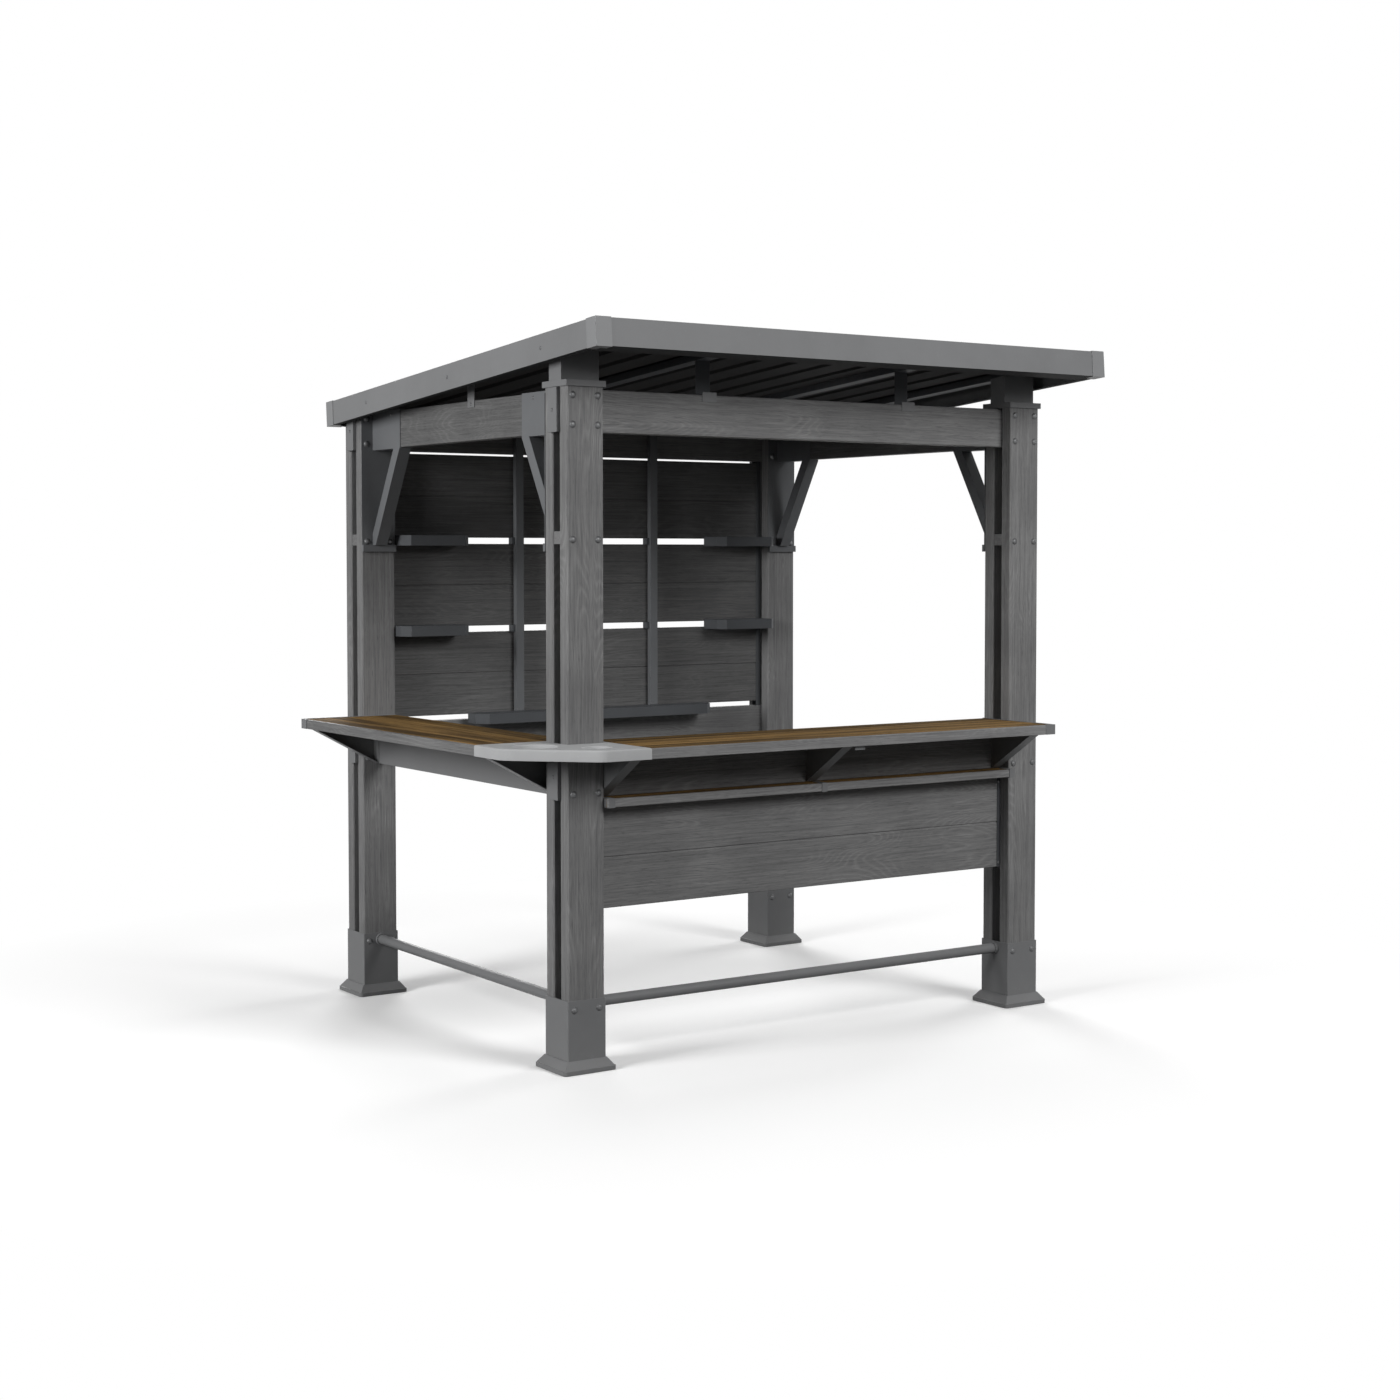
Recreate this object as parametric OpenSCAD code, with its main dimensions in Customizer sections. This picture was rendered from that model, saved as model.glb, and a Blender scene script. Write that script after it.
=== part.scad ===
// Bar gazebo: four twin-board posts, a single-slope metal roof, a shelved back wall
// and an L-shaped bar counter. Front is -Y, the counter's short leg is on -X, +Z is up.
// Units are millimetres. The origin is the middle of the whole outline, on the ground.

/* [Posts] */
// Distance between left and right post centres
post_span_x = 1890; // [1500:10:2800]
// Distance between front and back post centres
post_span_y = 1536; // [1200:10:2400]
// Width of a post board, across the front
post_w = 137; // [110:1:160]
// Thickness of a post board
board_t = 50; // [35:1:60]
// Gap between the two boards of a post, which the beams pass through
board_gap = 42; // [34:1:56]
// Bevel along the long edges of the boards
board_bevel = 4; // [1:0.5:8]
// Height of the spacer blocks in the board gap
spacer_h = 42; // [25:1:60]
// Height of the upper spacer block's middle above the ground
spacer_z = 1736; // [1500:1:1900]

/* [Base sleeves] */
// Height of the metal sleeve round a post's foot
sleeve_h = 236; // [150:1:320]
// Wall of the metal sleeve
sleeve_wall = 3; // [2:0.5:5]
// Width of the foot skirt
foot_w = 199; // [180:1:260]
// Height of the foot skirt's lower step
foot_step_h = 14; // [8:1:20]
// Height of the foot skirt, with its slope
foot_h = 40; // [30:1:60]

/* [Beams] */
// Height of the top beams
beam_h = 140; // [110:1:180]
// Height of the beams under the counter
rail_beam_h = 145; // [110:1:180]
// Height of the top beams' upper edge
beam_top = 2218; // [2050:1:2600]
// Thickness of the side beams
side_beam_t = 38; // [25:1:50]
// How far a beam's metal end cap stands out from the post
end_cap_out = 14; // [10:1:30]
// Width of a beam's metal end cap
end_cap_w = 58; // [50:1:90]

/* [Knee brackets] */
// Thickness of the steel of the knee brackets
knee_steel = 3; // [2:0.5:5]
// Height of the bracket's lower lip above the ground
knee_foot_z = 1692; // [1500:1:1850]
// Height of the lower lip
knee_lip_h = 26; // [15:1:40]
// Length of the box that holds the side beam
knee_box_l = 235; // [120:1:320]
// Width of the diagonal brace
brace_w = 48; // [30:1:60]
// Depth of the diagonal brace, square to its slope
brace_d = 44; // [20:1:50]
// Outer edge of the brace's foot from the post's face
brace_toe = 28; // [15:1:40]

/* [Roof] */
// Slope of the roof in degrees, falling to the back
roof_slope = 4.4; // [2:0.1:7]
// Roof beyond the side posts' centres
roof_over_side = 127; // [105:1:260]
// Roof in front of the front posts' centres
roof_over_front = 347; // [150:1:450]
// Roof behind the back posts' centres
roof_over_back = 110; // [100:1:250]
// Height of the fascia
fascia_h = 90; // [80:1:130]
// Thickness of the roof's folded steel
roof_steel = 2; // [1.5:0.5:3]
// Width of the front fascia's lower flange
soffit_w = 92; // [40:1:100]
// Width of the other fascias' lower flange
side_soffit_w = 24; // [12:1:26]
// Width of the fascia's upper flange
rim_w = 34; // [20:1:60]
// Pitch of the roof sheet's ribs
rib_pitch = 152; // [100:1:220]
// Height of the roof sheet's ribs
rib_h = 16; // [8:1:18]
// Width of a rafter
rafter_w = 52; // [40:1:70]
// Height of a rafter
rafter_h = 24; // [18:1:26]
// Length of a roof corner cap along each side
corner_cap_l = 58; // [40:1:90]

/* [Back wall] */
// Height of one wall panel, which is two boards
panel_h = 323; // [280:1:350]
// Open gap between wall panels
panel_gap = 24; // [15:1:40]
// Gap between the back beam and the first panel
top_gap = 8; // [5:1:20]
// Thickness of the wall panels
panel_t = 26; // [18:1:34]
// Width of the steel channels that hold the back panels' ends
channel_w = 22; // [15:1:60]
// Width of the steel channels that hold the front panel's ends
front_channel_w = 14; // [10:1:30]
// Distance of the uprights from the middle
upright_x = 316; // [200:1:500]
// Width of an upright
upright_w = 34; // [25:1:50]
// Depth of an upright
upright_d = 24; // [15:1:40]
// Depth of the small shelves
shelf_d = 129; // [80:1:180]
// Height of the shelves' rim
shelf_h = 40; // [25:1:50]
// Length of a small shelf along its front edge
shelf_l = 230; // [150:1:300]
// Depth of the long shelf
long_shelf_d = 104; // [80:1:160]
// Length of the long shelf along its front edge
long_shelf_l = 1024; // [800:1:1200]
// Thickness of the shelves' steel
shelf_steel = 2; // [1.5:0.5:4]

/* [Counter] */
// Height of the counter top
counter_z = 1067; // [1000:1:1150]
// Thickness of the counter boards
counter_t = 34; // [25:1:45]
// Counter's outer edge from the post centres
counter_out = 317; // [240:1:400]
// Thickness of the edging board
edging_t = 18; // [12:1:25]
// Planks across the counter
plank_count = 4; // [3:1:6]
// Gap between neighbouring planks
plank_gap = 1; // [0.5:0.5:3]
// Reach of the corner tray past the post centre, along each counter
tray_in = 95; // [85:1:160]
// Cut-off of the tray's outer corner
tray_chamfer = 233; // [150:1:260]
// Radius of the tray's two outer corners
tray_round = 60; // [20:1:90]
// How far the tray stands proud of the counter
tray_proud = 3; // [2:0.5:6]
// Wall of the corner tray
tray_wall = 3; // [2:0.5:5]
// Radius of the large round recess
bowl_r = 76; // [60:1:85]
// Radius of the small round recess
cup_r = 48; // [35:1:55]
// Depth of the round recesses
cup_depth = 28; // [15:1:32]
// Width of a counter bracket's flanges
bracket_w = 43; // [30:1:60]
// Reach of the front counter's brackets from the beam
front_reach = 225; // [120:1:235]
// Reach of the left counter's brackets from the rail
left_reach = 268; // [120:1:270]

/* [Front panel and ledge] */
// Lower edge of the front panel
front_panel_z = 518; // [350:1:600]
// Height of the front panel's lower board
front_board_h = 168; // [120:1:200]
// Thickness of the ledge
ledge_t = 28; // [20:1:34]
// Ledge's outer edge from the front posts' centres
ledge_out = 100; // [85:1:180]
// Thickness of the ledge's edging
ledge_edging_t = 16; // [10:1:20]

/* [Foot rails] */
// Diameter of the foot rails
rail_d = 36; // [25:1:45]
// Height of the foot rails' centre line
rail_z = 210; // [150:1:220]
// Wall of the foot rails' tube
rail_wall = 3; // [2:0.5:5]

/* [Hidden] */
$fn = 48;
eps = 0.01;
fit = 0.3;              // clearance where a piece slides over another
px = post_span_x / 2;
py = post_span_y / 2;
post_d = 2 * board_t + board_gap;
post_hw = post_w / 2;   // half width of a post, along X
post_hd = post_d / 2;   // half depth of a post, along Y
gap_half = board_gap / 2;
base_plate_t = 6;

counter_under = counter_z - counter_t;
mid_beam_z = counter_under - rail_beam_h;
beam_z = beam_top - beam_h;
beam_t = board_gap;
post_top_front = beam_top + knee_steel + 1;
roof_front_y = -py - roof_over_front;
roof_back_y = py + roof_over_back;
roof_hw = px + roof_over_side;
deck_depth = 26;        // underside of the roof sheet below the roof's top face
rafter_depth = deck_depth + rafter_h;
// The rafters rest on the back beam's rear edge, which sets the height of the roof
roof_front_z = beam_top + (py + gap_half - roof_front_y) * tan(roof_slope)
    + rafter_depth / cos(roof_slope);
roof_l = (roof_back_y - roof_front_y) / cos(roof_slope);
post_top_back = roof_z(py + post_hd, rafter_depth) - 8;
cap_over = 7;           // post cap beyond the post
cap_h = 20;
riser_w = 142;
riser_d = 78;

outer_x = px + counter_out;
outer_y = py + counter_out;
inner_x = px - post_hw;
inner_y = py - post_hd;
tray_inner_x = -px + tray_in;
tray_inner_y = -py + tray_in;

wall_y = py - gap_half; // inner face of the back beams
wall_top = beam_z - top_gap;
gap_z1 = wall_top - panel_h - panel_gap;
gap_z2 = gap_z1 - panel_h - panel_gap;
panel_front_y = py - panel_t / 2;
front_panel_y = -py - gap_half + panel_t / 2; // middle of the front panel's thickness

ledge_top = mid_beam_z;
ledge_z = ledge_top - ledge_t;
bracket_steel = 3;
tip_h = 14;             // turned-down tip of a bracket's arm
rail_hw = side_beam_t / 2 + knee_steel; // half width of the left counter rail
bracket_h = rail_beam_h - 2; // clear of the ledge below

// Height of a plane of the roof, a given depth below its top face, at a given y
function roof_z(y, depth) =
    roof_front_z - (y - roof_front_y) * tan(roof_slope) - depth / cos(roof_slope);

// The outline's middle moves to the origin. The roof's corners are its tilted cap's corners.
roof_tip_front = roof_front_y - roof_steel * cos(roof_slope)
    - (fascia_h + roof_steel) * sin(roof_slope);
roof_tip_back = roof_back_y + roof_steel * (cos(roof_slope) + sin(roof_slope));
shift_x = (outer_x + tray_proud - max(roof_hw + roof_steel, px + foot_w / 2)) / 2;
shift_y = -(min(roof_tip_front, -outer_y - tray_proud) + max(roof_tip_back, py + foot_w / 2)) / 2;
module place() translate([shift_x, shift_y, 0]) children();

// A frame on the roof: x across, y down the slope from the front edge, z square to it
module on_roof() place() translate([0, roof_front_y, roof_front_z])
    rotate([-roof_slope, 0, 0]) children();

// Rectangle with its four corners cut at 45 degrees
module bevelled(w, d, c) polygon([
    [-w / 2 + c, -d / 2], [w / 2 - c, -d / 2], [w / 2, -d / 2 + c], [w / 2, d / 2 - c],
    [w / 2 - c, d / 2], [-w / 2 + c, d / 2], [-w / 2, d / 2 - c], [-w / 2, -d / 2 + c]]);

// Rectangle with round corners
module rounded(w, d, r) {
    square([w, d - 2 * r], center = true);
    square([w - 2 * r, d], center = true);
    for (x = [-1, 1], y = [-1, 1])
        translate([x * (w / 2 - r), y * (d / 2 - r)]) circle(r);
}

// Square frustum, wider below
module frustum(w, d, inset, h) {
    x = w / 2;
    y = d / 2;
    polyhedron(
        points = [
            [-x, -y, 0], [x, -y, 0], [x, y, 0], [-x, y, 0],
            [-x + inset, -y + inset, h], [x - inset, -y + inset, h],
            [x - inset, y - inset, h], [-x + inset, y - inset, h]],
        faces = [[0, 1, 2, 3], [7, 6, 5, 4], [4, 5, 1, 0], [5, 6, 2, 1], [6, 7, 3, 2], [7, 4, 0, 3]]);
}

// A beam along X or Y with bevelled long edges, centred on the origin
module beam_x(l, t, h) rotate([90, 0, 90]) linear_extrude(l, center = true) bevelled(t, h, 2);
module beam_y(l, t, h) rotate([90, 0, 0]) linear_extrude(l, center = true) bevelled(t, h, 2);

// ---- Posts ----

module post(sx, sy, top) color("#5c5d5f") place()
    for (side = [-1, 1])
        translate([sx * px, sy * py + side * (gap_half + board_t / 2), base_plate_t])
            linear_extrude(top - base_plate_t) bevelled(post_w, board_t, board_bevel);

module post_spacers() color("#606163") place()
    for (sx = [-1, 1], sy = [-1, 1])
        translate([sx * px, sy * py, spacer_z])
            cube([post_w - 2 * board_bevel, board_gap, spacer_h], center = true);

module base_sleeve(sx, sy) color("#6e6f71") place() translate([sx * px, sy * py, 0])
    difference() {
        union() {
            translate([0, 0, foot_step_h]) linear_extrude(sleeve_h - foot_step_h)
                bevelled(post_w + 2 * sleeve_wall, post_d + 2 * sleeve_wall, 2);
            linear_extrude(foot_step_h) rounded(foot_w, foot_w, 14);
            translate([0, 0, foot_step_h])
                frustum(foot_w - 10, foot_w - 10, (foot_w - 10 - post_d - 2 * sleeve_wall) / 2 - 1,
                    foot_h - foot_step_h);
        }
        translate([-post_hw, -post_hd, base_plate_t]) cube([post_w, post_d, sleeve_h]);
    }

// Riser's side outline, with a sloping top under the rafter
module riser_outline(inset) {
    y = riser_d / 2 - inset;
    low = post_top_front + cap_h - 3 - inset;
    polygon([
        [-y, low], [y, low],
        [y, roof_z(-py + y, rafter_depth + inset)], [-y, roof_z(-py - y, rafter_depth + inset)]]);
}

// Lid over the boards' ends, with the hollow riser on it
module front_cap() difference() {
    union() {
        translate([0, 0, post_top_front]) linear_extrude(cap_h)
            bevelled(post_w + 2 * cap_over, post_d + 2 * cap_over, 2);
        rotate([90, 0, 90]) linear_extrude(riser_w, center = true) riser_outline(0);
    }
    translate([-post_hw - fit, -post_hd - fit, post_top_front - 1])
        cube([post_w + 2 * fit, post_d + 2 * fit, cap_h - 2]);
    rotate([90, 0, 90]) linear_extrude(riser_w - 6, center = true) riser_outline(3);
}

module post_caps() color("#6a6b6d") place() for (sx = [-1, 1]) {
    translate([sx * px, -py, 0]) front_cap();
    for (side = [-1, 1])
        translate([sx * px, py + side * (gap_half + board_t / 2), post_top_back])
            linear_extrude(4) bevelled(post_w, board_t, 1);
}

// ---- Beams ----

beam_l = 2 * (px + post_hw + end_cap_out - 6);

module cross_beam(sy, z, h) color("#57585a") place()
    translate([0, sy * py, z + h / 2]) beam_x(beam_l, beam_t - 2 * fit, h);

module side_beams() color("#57585a") place() for (sx = [-1, 1])
    translate([sx * px, 0, beam_z + beam_h / 2])
        beam_y(2 * (inner_y - knee_steel), side_beam_t, beam_h);

module left_counter_rail() color("#77787a") place()
    translate([-px, 0, mid_beam_z + rail_beam_h / 2]) rotate([90, 0, 0])
        linear_extrude(2 * inner_y, center = true) difference() {
            bevelled(side_beam_t + 2 * knee_steel, rail_beam_h, 2);
            square([side_beam_t, rail_beam_h - 2 * knee_steel], center = true);
        }

// Cup over a beam's end, against the post's side; z0 is the beam's lower edge, h is its
// height and over is the cup's steel above the beam
module end_cap(z0, h, over) difference() {
    translate([0, -end_cap_w / 2, z0 - 2]) cube([end_cap_out, end_cap_w, h + 2 + over]);
    translate([-eps, -beam_t / 2, z0]) cube([end_cap_out - 3, beam_t, h]);
}

module beam_end_caps() color("#737476") place() for (sx = [-1, 1], sy = [-1, 1])
    translate([sx * (px + post_hw), sy * py, 0]) flip_x(sx < 0) {
        end_cap(beam_z, beam_h, 2);
        end_cap(mid_beam_z, rail_beam_h, 0);
    }

// ---- Knee brackets ----

lip_out = 14;
// Side outline of the brace, from the lower lip up to the beam's box; the two long edges
// are drawn in by inset, and the short ends stay where they are
module brace_outline(inset) {
    foot = knee_foot_z + knee_lip_h - 1;
    head = beam_z - knee_steel + 1;
    lean = (knee_box_l - brace_toe) / (head - foot);
    edge = inset * sqrt(1 + lean * lean);
    wide = brace_d * sqrt(1 + lean * lean);
    // The upper edge ends inside the post's plate, at x = 1
    polygon([
        [1, foot], [brace_toe - edge, foot], [knee_box_l - edge, head],
        [knee_box_l - wide + edge, head], [1, foot + (1 + wide - edge - brace_toe) / lean]]);
}

// Bracket on a post's inner face; the side beam leaves it along +Y
module knee() {
    box_t = side_beam_t + 2 * knee_steel;
    // Plate down the post
    translate([-post_hw, 0, knee_foot_z]) cube([post_w, knee_steel, post_top_back - knee_foot_z]);
    // Lower lip
    translate([-post_hw, 0, knee_foot_z]) cube([post_w, lip_out, knee_lip_h]);
    // Box round the side beam's end
    difference() {
        translate([-box_t / 2, 0, beam_z - knee_steel])
            cube([box_t, knee_box_l, beam_h + 2 * knee_steel - 0.5]);
        translate([-side_beam_t / 2, knee_steel, beam_z])
            cube([side_beam_t, knee_box_l, beam_h + 2 * knee_steel]);
    }
    // Diagonal brace, a folded box open at its ends
    rotate([90, 0, 90]) difference() {
        linear_extrude(brace_w, center = true) brace_outline(0);
        linear_extrude(brace_w - 2 * knee_steel, center = true) brace_outline(knee_steel);
    }
}

module flip_y(on) {
    if (on) mirror([0, 1, 0]) children();
    else children();
}

module flip_x(on) {
    if (on) mirror([1, 0, 0]) children();
    else children();
}

module knee_bracket(sx, sy) color("#717274") place()
    translate([sx * px, sy * inner_y, 0]) flip_y(sy > 0) knee();

// ---- Roof ----

// Folded fascia: web, upper flange and a lower flange w wide, with y pointing inwards
module fascia_section(w) polygon([
    [0, 0], [rim_w, 0], [rim_w, -roof_steel], [roof_steel, -roof_steel],
    [roof_steel, roof_steel - fascia_h], [w, roof_steel - fascia_h], [w, -fascia_h], [0, -fascia_h]]);

// A length of fascia along X, its ends mitred as far in as the rim or the side flange
module fascia_run(l, w) {
    m = max(rim_w, side_soffit_w);
    intersection() {
        rotate([90, 0, 90]) linear_extrude(l) fascia_section(w);
        translate([0, 0, -fascia_h - 1]) linear_extrude(fascia_h + 2) polygon([
            [0, 0], [l, 0], [l - m, m], [l - m, w + m], [m, w + m], [m, m]]);
    }
}

module fascia_side(sx) color("#838486") on_roof()
    translate([sx * roof_hw, sx > 0 ? 0 : roof_l, 0]) rotate([0, 0, sx * 90])
        fascia_run(roof_l, side_soffit_w);

module fascia_front() color("#6d6e70") on_roof()
    translate([-roof_hw, 0, 0]) fascia_run(2 * roof_hw, soffit_w);

module fascia_back() color("#6d6e70") on_roof()
    translate([roof_hw, roof_l, 0]) rotate([0, 0, 180])
        fascia_run(2 * roof_hw, side_soffit_w);

module corner_cap() difference() {
    translate([-roof_steel, -roof_steel, -fascia_h - roof_steel])
        cube([corner_cap_l, corner_cap_l, fascia_h + 2 * roof_steel]);
    translate([0, 0, -fascia_h]) cube([corner_cap_l, corner_cap_l, fascia_h]);
    translate([rim_w, rim_w, -fascia_h - 2 * roof_steel])
        cube([corner_cap_l, corner_cap_l, fascia_h + 4 * roof_steel]);
}

module roof_corner_caps() color("#7c7d7f") on_roof()
    for (sx = [-1, 1], end = [0, 1])
        translate([sx * roof_hw, end * roof_l, 0])
            flip_x(sx > 0) flip_y(end > 0) corner_cap();

// Ribbed sheet inside the fascia
sheet_gap = roof_steel + 0.5;
sheet_hw = roof_hw - sheet_gap;
rib_count = floor((2 * sheet_hw - 40) / rib_pitch);
rib_points = [for (i = [0:rib_count - 1]) let (x = (i - (rib_count - 1) / 2) * rib_pitch)
    each [[x - 22, 0], [x - 12, rib_h], [x + 12, rib_h], [x + 22, 0]]];
sheet_line = concat([[-sheet_hw, 0]], rib_points, [[sheet_hw, 0]]);
sheet_t = 1.2;

module roof_sheet() color("#4a4b4d") on_roof()
    translate([0, roof_l - sheet_gap, -deck_depth]) rotate([90, 0, 0])
        linear_extrude(roof_l - 2 * sheet_gap) polygon(concat(
            sheet_line,
            [for (i = [len(sheet_line) - 1:-1:0]) sheet_line[i] + [0, sheet_t]]));

rafter_x = 430;
rafter_places = [-px, -rafter_x, rafter_x, px];

module rafters() color("#3f4042") on_roof() for (x = rafter_places)
    translate([x, roof_l - sheet_gap, -deck_depth]) rotate([90, 0, 0])
        linear_extrude(roof_l - 2 * sheet_gap) difference() {
            translate([-rafter_w / 2, -rafter_h]) square([rafter_w, rafter_h]);
            translate([-rafter_w / 2 + 2, -rafter_h + 2]) square([rafter_w - 4, rafter_h - 4]);
        }

// Straps from the rafters down to the beams
clip_t = 3;
clip_low = 24;          // lap on the beam's face
clip_stub = 9;          // how far the front lap stands above the beam
// rear_y is the strap's rearmost y, where the rafter is lowest
module side_clip(w, rear_y, lap) {
    translate([-w / 2, 0, beam_top - clip_low])
        cube([w, clip_t, roof_z(rear_y, rafter_depth) - beam_top + clip_low]);
    translate([-w / 2, 0, beam_top]) cube([w, lap, clip_t]);
}

// Lap on the beam's front face and top, with its strap rising from the beam's rear edge
module front_clip(w, beam_face) {
    lap = clip_t + beam_t - 2 * fit;
    translate([-w / 2, beam_face - clip_t, beam_top - clip_low]) {
        cube([w, clip_t, clip_low + clip_stub]);
        translate([0, 0, clip_low]) cube([w, lap, clip_t]);
        translate([0, lap - clip_t, clip_low])
            cube([w, clip_t, roof_z(beam_face + beam_t, rafter_depth) - beam_top]);
    }
}

front_clip_w = 57;
side_clip_w = 50;
side_clip_y = -98;
module roof_clips() color("#6f7072") place() {
    for (x = [-rafter_x, rafter_x])
        translate([x, 0, 0]) front_clip(front_clip_w, -py - gap_half + fit);
    for (sx = [-1, 1])
        translate([sx * (px + side_beam_t / 2 + clip_t), side_clip_y, 0]) rotate([0, 0, sx * 90])
            side_clip(side_clip_w, side_clip_y + side_clip_w / 2, side_beam_t);
}

// ---- Back wall ----

panel_hw = inner_x - 2;

// Two tongue-and-groove boards, with a seam at the height of the lower board
module wall_panel(y, z, h, board_h) color("#4e4f51") place()
    translate([0, y, z]) rotate([90, 0, 90]) linear_extrude(2 * panel_hw, center = true)
        difference() {
            translate([0, h / 2]) bevelled(panel_t, h, 2);
            for (s = [-1, 1]) translate([s * panel_t / 2, board_h]) rotate(45)
                square(5, center = true);
        }

module u_channel(w, h) difference() {
    translate([0, -panel_t / 2 - 3, 0]) cube([w, panel_t + 6, h]);
    translate([2, -panel_t / 2 - 0.5, -1]) cube([w, panel_t + 1, h + 2]);
}

module panel_channels() color("#4c4d4f") place() for (sx = [-1, 1]) flip_x(sx > 0) {
    translate([-inner_x, py, counter_under]) u_channel(channel_w, beam_z - counter_under);
    translate([-inner_x, front_panel_y, front_panel_z])
        u_channel(front_channel_w, ledge_z - front_panel_z);
}

module wall_uprights() color("#47484a") place() for (sx = [-1, 1]) {
    low = counter_under - 20;
    l = beam_top - 20 - low;
    translate([sx * upright_x - upright_w / 2, wall_y - upright_d, low]) difference() {
        cube([upright_w, upright_d, l]);
        translate([2, 2, -1]) cube([upright_w - 4, upright_d, l + 2]);
    }
}

// Outline of a shelf with cut front corners, drawn in by w; its back is the line y = 0
module shelf_outline(l, d, c, w) {
    x = l / 2 - w * (sqrt(2) - 1);
    polygon([
        [-l / 2 - c + w, 0], [-l / 2 - c + w, -d + c + w * (sqrt(2) - 1)], [-x, -d + w],
        [x, -d + w], [l / 2 + c - w, -d + c + w * (sqrt(2) - 1)], [l / 2 + c - w, 0]]);
}

// Folded shelf: a flat top with its front and side edges turned down
module shelf(l, d, c) difference() {
    linear_extrude(shelf_h) shelf_outline(l, d, c, 0);
    translate([0, eps, -1]) linear_extrude(shelf_h - shelf_steel + 1)
        shelf_outline(l, d, c, shelf_steel);
}

module corner_shelves() color("#505153") place()
    for (sx = [-1, 1], z = [gap_z1, gap_z2])
        translate([sx * (inner_x - 148), panel_front_y - 3, z + panel_gap / 2 - shelf_h / 2])
            shelf(shelf_l, shelf_d, 30);

module long_shelf() color("#505153") place()
    translate([0, wall_y - upright_d, counter_under - 13]) shelf(long_shelf_l, long_shelf_d, 40);

// ---- Front panel and ledge ----

module front_panel()
    wall_panel(front_panel_y, front_panel_z, ledge_z - front_panel_z, front_board_h);

module front_ledge() color("#6b4a2c") place()
    translate([-inner_x, -py - ledge_out + ledge_edging_t, ledge_z])
        cube([2 * inner_x, ledge_out - ledge_edging_t + panel_t / 2 + 3, ledge_t]);

module ledge_clips() color("#77787a") place() for (x = [-inner_x + 12, 0, inner_x - 12])
    translate([x - 12, -py - ledge_out - 2, ledge_z - 2]) difference() {
        cube([24, 60, ledge_t + 4]);
        translate([-1, 2, 2]) cube([26, 60, ledge_t]);
    }

// ---- Counter ----

front_w = counter_out + post_hd - edging_t;
left_w = counter_out + post_hw - edging_t;
end_steel = 2;
end_cap_l = 44;
end_lip = 6;

// Planks l long, lying along +X, side by side towards -Y over the width w
module planks(w, l) {
    plank_w = (w - (plank_count - 1) * plank_gap) / plank_count;
    for (i = [0:plank_count - 1])
        translate([0, -i * (plank_w + plank_gap) - plank_w, 0]) cube([l, plank_w, counter_t]);
}

module front_counter_planks() color("#6b4a2c") place()
    translate([tray_inner_x + 0.5, -inner_y, counter_under])
        planks(front_w, inner_x - end_steel - tray_inner_x - 0.5);

module left_counter_planks() color("#6b4a2c") place()
    translate([-inner_x, tray_inner_y + 0.5, counter_under]) rotate([0, 0, 90]) mirror([0, 1, 0])
        planks(left_w, inner_y - end_steel - tray_inner_y - 0.5);

// Grey edging boards of both counters and of the ledge
module counter_edging() color("#717274") place() {
    translate([tray_inner_x + 0.5, -outer_y, counter_under])
        cube([inner_x - end_steel - tray_inner_x - 0.5, edging_t - fit, counter_t]);
    translate([-outer_x, tray_inner_y + 0.5, counter_under])
        cube([edging_t - fit, inner_y - end_steel - tray_inner_y - 0.5, counter_t]);
    translate([-inner_x, -py - ledge_out, ledge_z])
        cube([2 * inner_x, ledge_edging_t - fit, ledge_t]);
}

// Cap round the end of a counter w wide, lying along +Y, with its closed face at x = 0
module counter_end_cap(w) difference() {
    translate([-end_cap_l, 0, 0]) cube([end_cap_l, w + end_steel, counter_t + end_steel]);
    translate([-end_cap_l - end_steel, -eps, -eps]) cube([end_cap_l, w + eps, counter_t + eps]);
    translate([-end_cap_l - eps, -eps, -eps])
        cube([end_cap_l - end_lip, w - end_lip, counter_t + 2 * end_steel]);
}

module counter_end_caps() color("#7a7b7d") place() {
    translate([inner_x, -inner_y, counter_under]) mirror([0, 1, 0])
        counter_end_cap(outer_y - inner_y);
    translate([-inner_x, inner_y, counter_under]) rotate([0, 0, 90])
        counter_end_cap(outer_x - inner_x);
}

// Outline of the corner tray, drawn in by a wall's thickness
module tray_outline(inset) {
    left = -outer_x - tray_proud + inset;
    front = -outer_y - tray_proud + inset;
    cut = tray_chamfer - inset * (2 - sqrt(2));
    r = tray_round - inset;
    back = r * tan(22.5);   // from a corner to where its rounding starts
    function arc(x, y, start) = [for (a = [start:7.5:start + 45]) [x + r * cos(a), y + r * sin(a)]];
    polygon(concat(
        [[left, tray_inner_y - inset]],
        arc(left + r, front + cut + back, 180),
        arc(left + cut + back, front + r, 225),
        [[tray_inner_x - inset, front], [tray_inner_x - inset, tray_inner_y - inset]]));
}

bowl_at = [-px - 190, -py - 67];
cup_at = [-px - 40, -py - 207];

module corner_tray() color("#9c9d9f") place() {
    top = counter_z + tray_proud;
    difference() {
        union() {
            difference() {
                translate([0, 0, counter_under]) linear_extrude(top - counter_under) tray_outline(0);
                translate([0, 0, counter_under - 1])
                    linear_extrude(top - tray_wall - counter_under + 1) tray_outline(tray_wall);
            }
            for (well = [[bowl_at, bowl_r], [cup_at, cup_r]])
                translate([well[0].x, well[0].y, top - cup_depth - tray_wall])
                    cylinder(h = cup_depth + tray_wall - 1, r = well[1] + tray_wall);
        }
        for (well = [[bowl_at, bowl_r], [cup_at, cup_r]])
            translate([well[0].x, well[0].y, top - cup_depth]) cylinder(h = cup_depth + 1, r = well[1]);
        translate([-px - post_hw - fit, -py - post_hd - fit, counter_under - 2])
            cube([post_w + 2 * fit, post_d + 2 * fit, counter_t + 20]);
    }
}

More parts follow.
